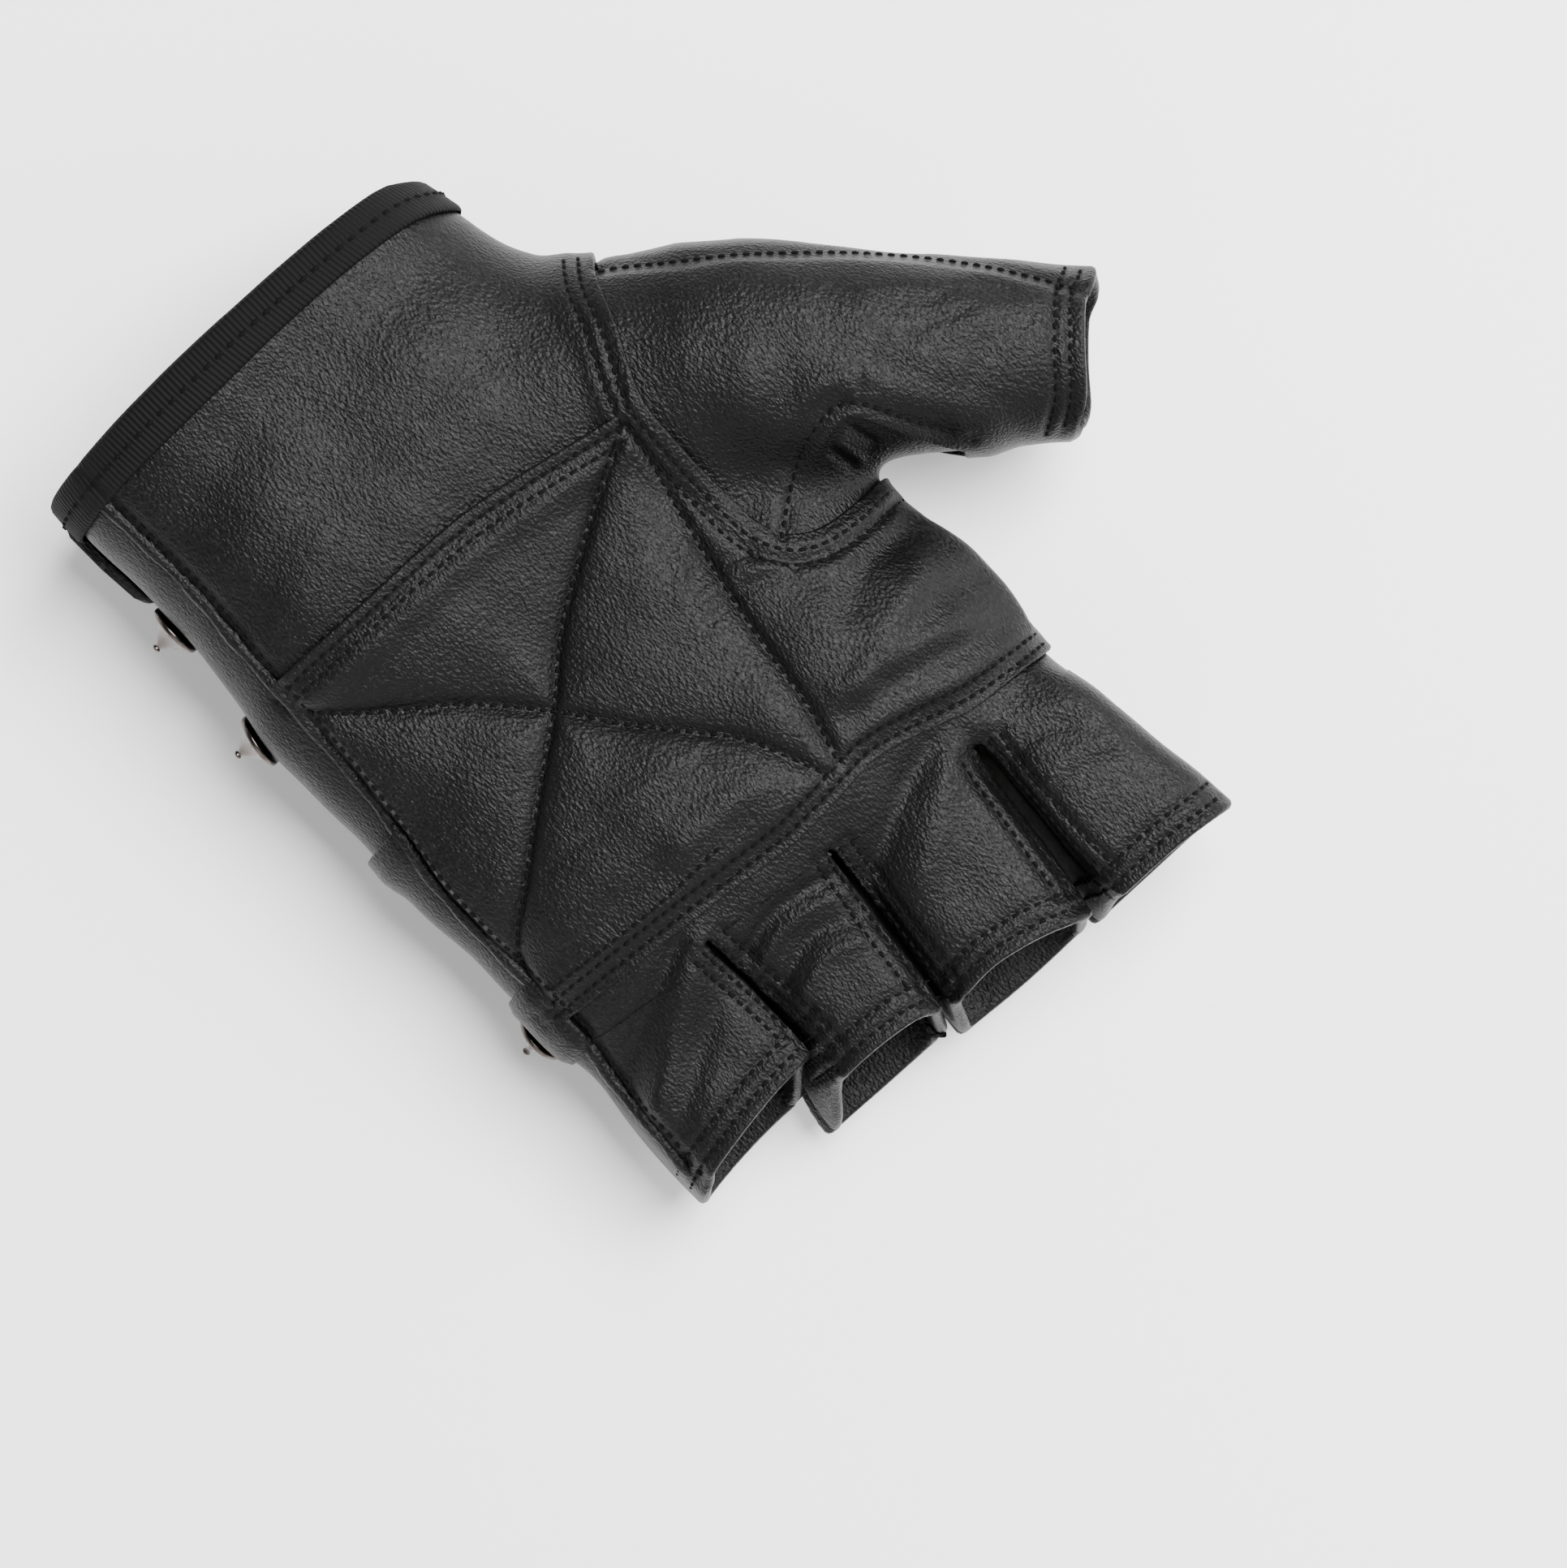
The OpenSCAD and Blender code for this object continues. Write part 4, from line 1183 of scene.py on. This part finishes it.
for number, stall in enumerate(FINGER_STALLS):
    finger = stall.split("_")[0]
    hem = FINGER_HEMS[number]
    rows = [laid(beside(hem, gap)) for gap in (-1.3, -3.7)]
    for (owner, side_of), edge in SLIT_EDGES.items():
        if owner == finger:
            rows += [laid(beside(edge, side_of * gap)) for gap in (0.9, 2.7)]
    if finger == "little":
        rows.append(laid(beside(SIDE_SEAM[(SIDE_SEAM[:, 1] > 46) & (SIDE_SEAM[:, 1] < 68)], 1.2)))
    joined(sewn(f"{finger}_stitches", rows))

# ------------------------------------------------------------------------------------------
# Piping: the palm and the back meet along the little edge in a rolled seam, which stands up as
# a thin ridge from the cuff to the little finger's end.
for name, low, high in (("side_ridge", -57, 46.4), ("little_ridge", 46.2, 69)):
    line = SIDE_SEAM[(SIDE_SEAM[:, 1] >= low - 1.2) & (SIDE_SEAM[:, 1] <= high + 1.2)]
    line = beside(line, -0.1)
    places, ways = laid(line)
    good = ~np.isnan(places[:, 0])
    places, ways = places[good], ways[good]
    for _ in range(4):
        places[1:-1] = (places[:-2] + 2 * places[1:-1] + places[2:]) / 4
        ways[1:-1] = (ways[:-2] + 2 * ways[1:-1] + ways[2:]) / 4
    along_way = np.gradient(places, axis=0)
    side = np.cross(along_way, ways)
    side /= np.linalg.norm(side, axis=1)[:, None]
    around = np.arange(12) * math.tau / 12
    grow = 1 + 0.12 * np.sin(np.arange(len(places)) * 0.9) + 0.08 * np.sin(np.arange(len(places)) * 0.37)
    half_wide, half_high = 0.95 * np.cos(around)[None, :, None], 0.8 * np.sin(around)[None, :, None]
    ring = places[:, None] + grow[:, None, None] * (half_wide * side[:, None] + half_high * ways[:, None])
    ridge = piece(name, *tube(ring))
    if low < 0:
        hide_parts("side_piping")
        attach(ridge, "hand")
        side_ridge = ridge
    else:
        joined(ridge)
        little_ridge = ridge


wear(side_ridge, little_ridge, material=goatskin)

# ------------------------------------------------------------------------------------------
# Binding: ribbed black tape about 12 mm wide, folded over the cuff's raw edge and over the
# vent's, and stitched through.
def taped(name, rings, across, run):
    """Tape as a closed folded strip; its texture runs along and across it in millimetres."""
    points, quads = tube(rings)
    body = piece(name, points, quads)
    layer = body.data.uv_layers.new(name="tape")
    size = rings.shape[1]
    corners = [loop.vertex_index for loop in body.data.loops]
    uv = np.array([(run[v // size], across[v % size]) for v in corners])
    layer.data.foreach_set("uv", uv.ravel())
    return body


FOLD = np.array(
    [(0, 0.1), (0.03, 0.5), (0.1, 0.66), (0.5, 0.72), (0.9, 0.7), (0.99, 0.5), (1.04, 0.05), (1.06,
        -0.55), (1.04, -1.2),
     (0.99, -1.6), (0.9, -1.78), (0.5, -1.82), (0.1, -1.78), (0.03, -1.62), (0, -1.3), (0.5, -1.25),
         (0.9, -1.2),
     (0.95, -0.55), (0.9, 0.02), (0.5, 0.02)]
)
rings, run = [], [0.0]
for degrees in np.arange(289, 612, 0.75):
    x = round_hand(degrees, -57)[0][0]
    top, edge = (np.interp(x, line[:, 0], line[:, 1]) for line in (CUFF_SEAM, CUFF_EDGE))
    ring = []
    for share, out in FOLD:
        place, way = round_hand(degrees, top + (edge - top) * share)
        ring.append(place + out * way)
    rings.append(ring)
    run.append(run[-1] + (np.linalg.norm(rings[-1][3] - rings[-2][3]) if len(rings) > 1 else 0))
rings = np.array(rings)
cuff_binding = taped("cuff_tape", rings, FOLD[:, 0] * 6.5, run[1:])
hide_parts("cuff_binding")
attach(cuff_binding, "hand")
outer_row = rings[:, 3]
ways = np.array([round_hand(d, -57)[1] for d in np.arange(289, 612, 0.75)])
tape_stitches = sewn("tape_stitches", [(outer_row, ways)], pitch=2.2, dash=1.5)
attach(tape_stitches, "hand")

edge = VENT[VENT[:, 1] > -61.5]
places, ways = [], []
for x, y in edge:
    hit, normal, _, _ = skin_tree.ray_cast(Vector((x, y, -20)), Vector((0, 0, 1)))
    places.append(tuple(hit))
    ways.append((0, 0, -1))
places, ways = np.array(places), np.array(ways)
aside = np.cross(np.gradient(places, axis=0), ways)
aside /= np.linalg.norm(aside, axis=1)[:, None]
LIP = np.array(
    [(3.4, 0.08), (3.2, 0.5), (1.6, 0.66), (0, 0.66), (-0.6, 0.3), (-0.85, -0.55), (-0.6, -1.4), (0,
        -1.8), (1.6, -1.8),
     (3.2, -1.65), (3.4, -1.3), (0.1, -1.25), (-0.1, -0.55), (0.1, 0.02)]
)
outward = -1 if np.dot(aside[len(aside) // 2][:2], (0, 1)) < 0 else 1
rings = np.array([[p + outward * a * s + b * n for a, b in LIP] for p, s, n in zip(places, aside, ways)])
run = np.concatenate([[0], np.cumsum(np.linalg.norm(np.diff(places, axis=0), axis=1))])
vent_binding = taped("vent_tape", rings, LIP[:, 0], run)
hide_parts("vent_binding")
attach(vent_binding, "hand")


ribs = {"Distortion": 0.6, "Detail": 2, "Detail Scale": 2}
tape, _ = bumped(
    "ribbed_tape", (0.0012, 0.0012, 0.0013), 0.75, "ShaderNodeTexWave", ribs, 0.42, 0.00018, 0.9, uv=True
)
wear(cuff_binding, vent_binding, material=tape)

# ------------------------------------------------------------------------------------------
# Wrist strap: a leather tab 17 mm wide, sewn down beside the vent on the thumb side. It closes
# over the vent and grips with hook tape on a patch of loop tape.
STRAP_LOW, STRAP_WIDE, STRAP_LIFT, STRAP_THICK = -60.3, 17.0, 1.35, 1.6


def strip(name, first, last, low, high, lift, thick, rounded=0.0):
    """A strip that follows the back of the cuff, between two angles and two heights."""
    half_loop = [(0, 0), (0.02, -0.35), (0.06, -0.5), (0.5, -0.5), (0.94, -0.5), (0.98, -0.35)]
    loop = half_loop + [(1 - share, -up) for share, up in half_loop]
    rings = []
    turns = np.append(np.arange(first, last - 0.2, 1.5), last)
    for degrees in turns:
        reach = 1.0
        if rounded:
            left = np.clip((last - degrees) / rounded, 0, 1)
            reach = max(0.05, math.sqrt(1 - (1 - left) ** 2) * 0.45 + 0.55 * (left > 0.001))
        middle, half = (low + high) / 2, (high - low) / 2 * reach
        ring = []
        for share, up in loop:
            place, way = round_hand(degrees, middle + half * (2 * share - 1))
            ring.append(place + (lift + thick * (0.5 + up)) * way)
        rings.append(ring)
    return piece(name, *tube(np.array(rings)))


band_of_strap = (STRAP_LOW, STRAP_LOW + STRAP_WIDE, STRAP_LIFT, STRAP_THICK)
strap = strip("strap_leather", 245, 348, *band_of_strap, rounded=6)
strap_root = strip("strap_root_leather", 232, 246, *band_of_strap)
hook = strip("hook_tape", 300, 346, STRAP_LOW + 8, STRAP_LOW + 15.5, STRAP_LIFT - 0.75, 0.7)
loop_patch = strip("loop_tape", 298, 349, STRAP_LOW + 7.4, STRAP_LOW + STRAP_WIDE, 0.02, 0.45)
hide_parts("strap")
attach(strap, "wrist_strap")
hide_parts("strap_root")
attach(strap_root, "hand")
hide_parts("hook_patch")
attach(hook, "wrist_strap")
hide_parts("loop_patch")
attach(loop_patch, "hand")


strap_hide = leather_material("strap_hide", 0.5)
fuzz, _ = bumped(
    "hook_and_loop_pile", (0.012, 0.012, 0.013), 0.85, "ShaderNodeTexNoise", {"Detail": 6}, 1500, 0.0006
)
wear(strap, strap_root, material=strap_hide)
wear(hook, loop_patch, material=fuzz)

# ------------------------------------------------------------------------------------------
# Studs: polished nickel cones with a bevelled rim and a ball at the tip, set in rows on the
# back and along the knuckle band, each riveted through the leather onto a washer.
BACK_STUDS = [(-38, t) for t in (213, 235, 306, 329, 358)] + [(-19, t) for t in (232, 262, 290, 322, 357)]
KNUCKLE_STUDS = [(38, t) for t in (220, 246, 270, 294, 320, 348)]
STUD = [(0.01, -0.2), (3.85, -0.2), (4.0, 0.05), (4.0, 0.45), (3.85, 0.7), (3.5, 0.8), (3.36, 0.86),
    (3.2, 0.98), (2.3, 1.65),
        (1.55, 2.35), (1.0, 3.0), (0.62, 3.5), (0.45, 3.7), (0.5, 3.8), (0.6, 3.95), (0.6, 4.1),
            (0.42, 4.3), (0.01, 4.38)]
WASHER = [(0.01, -1.2), (1.1, -1.2), (1.1, -1.75), (3.1, -1.75), (3.2, -1.85), (3.2, -2.1), (3.0,
    -2.2), (1.3, -2.2), (1.1, -2.5), (0.01, -2.55)]


def turned(name, places, profile, extra):
    """The same turned profile set at each place on the skin, standing straight out from it."""
    points, quads = [], []
    around = np.arange(36) * math.tau / 36
    for y, degrees in places:
        foot, way = round_hand(degrees, y)
        flat = np.cross(way, (0, 1, 0))
        flat /= np.linalg.norm(flat)
        other = np.cross(way, flat)
        foot = foot + (extra if abs(y - 38) < 4 else 0) * way
        spokes = [math.cos(a) * flat + math.sin(a) * other for a in around]
        ring = [[foot + r * spoke + h * way for spoke in spokes] for r, h in profile]
        ring, ring_faces = tube(np.array(ring))
        quads += [[v + len(points) * len(ring) for v in face] for face in ring_faces]
        points.append(ring)
    body = piece(name, np.vstack(points), quads)
    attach(body, "hand")
    return body


back_studs = turned("back_cone_studs", BACK_STUDS, STUD, 0)
knuckle_studs = turned("knuckle_cone_studs", KNUCKLE_STUDS, STUD, 1.3)
washers = turned("rivet_washers", BACK_STUDS + KNUCKLE_STUDS, WASHER, 0)
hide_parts("back_studs")
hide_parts("knuckle_studs")
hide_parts("stud_washers")

nickel, nickel_shader = bumped(
    "bright_nickel", (0.085, 0.072, 0.067), 0.25, "ShaderNodeTexNoise", {"Detail": 5}, 700, 0.00005, 0.25
)
nickel_shader.inputs["Metallic"].default_value = 1
wear(back_studs, knuckle_studs, washers, material=nickel)
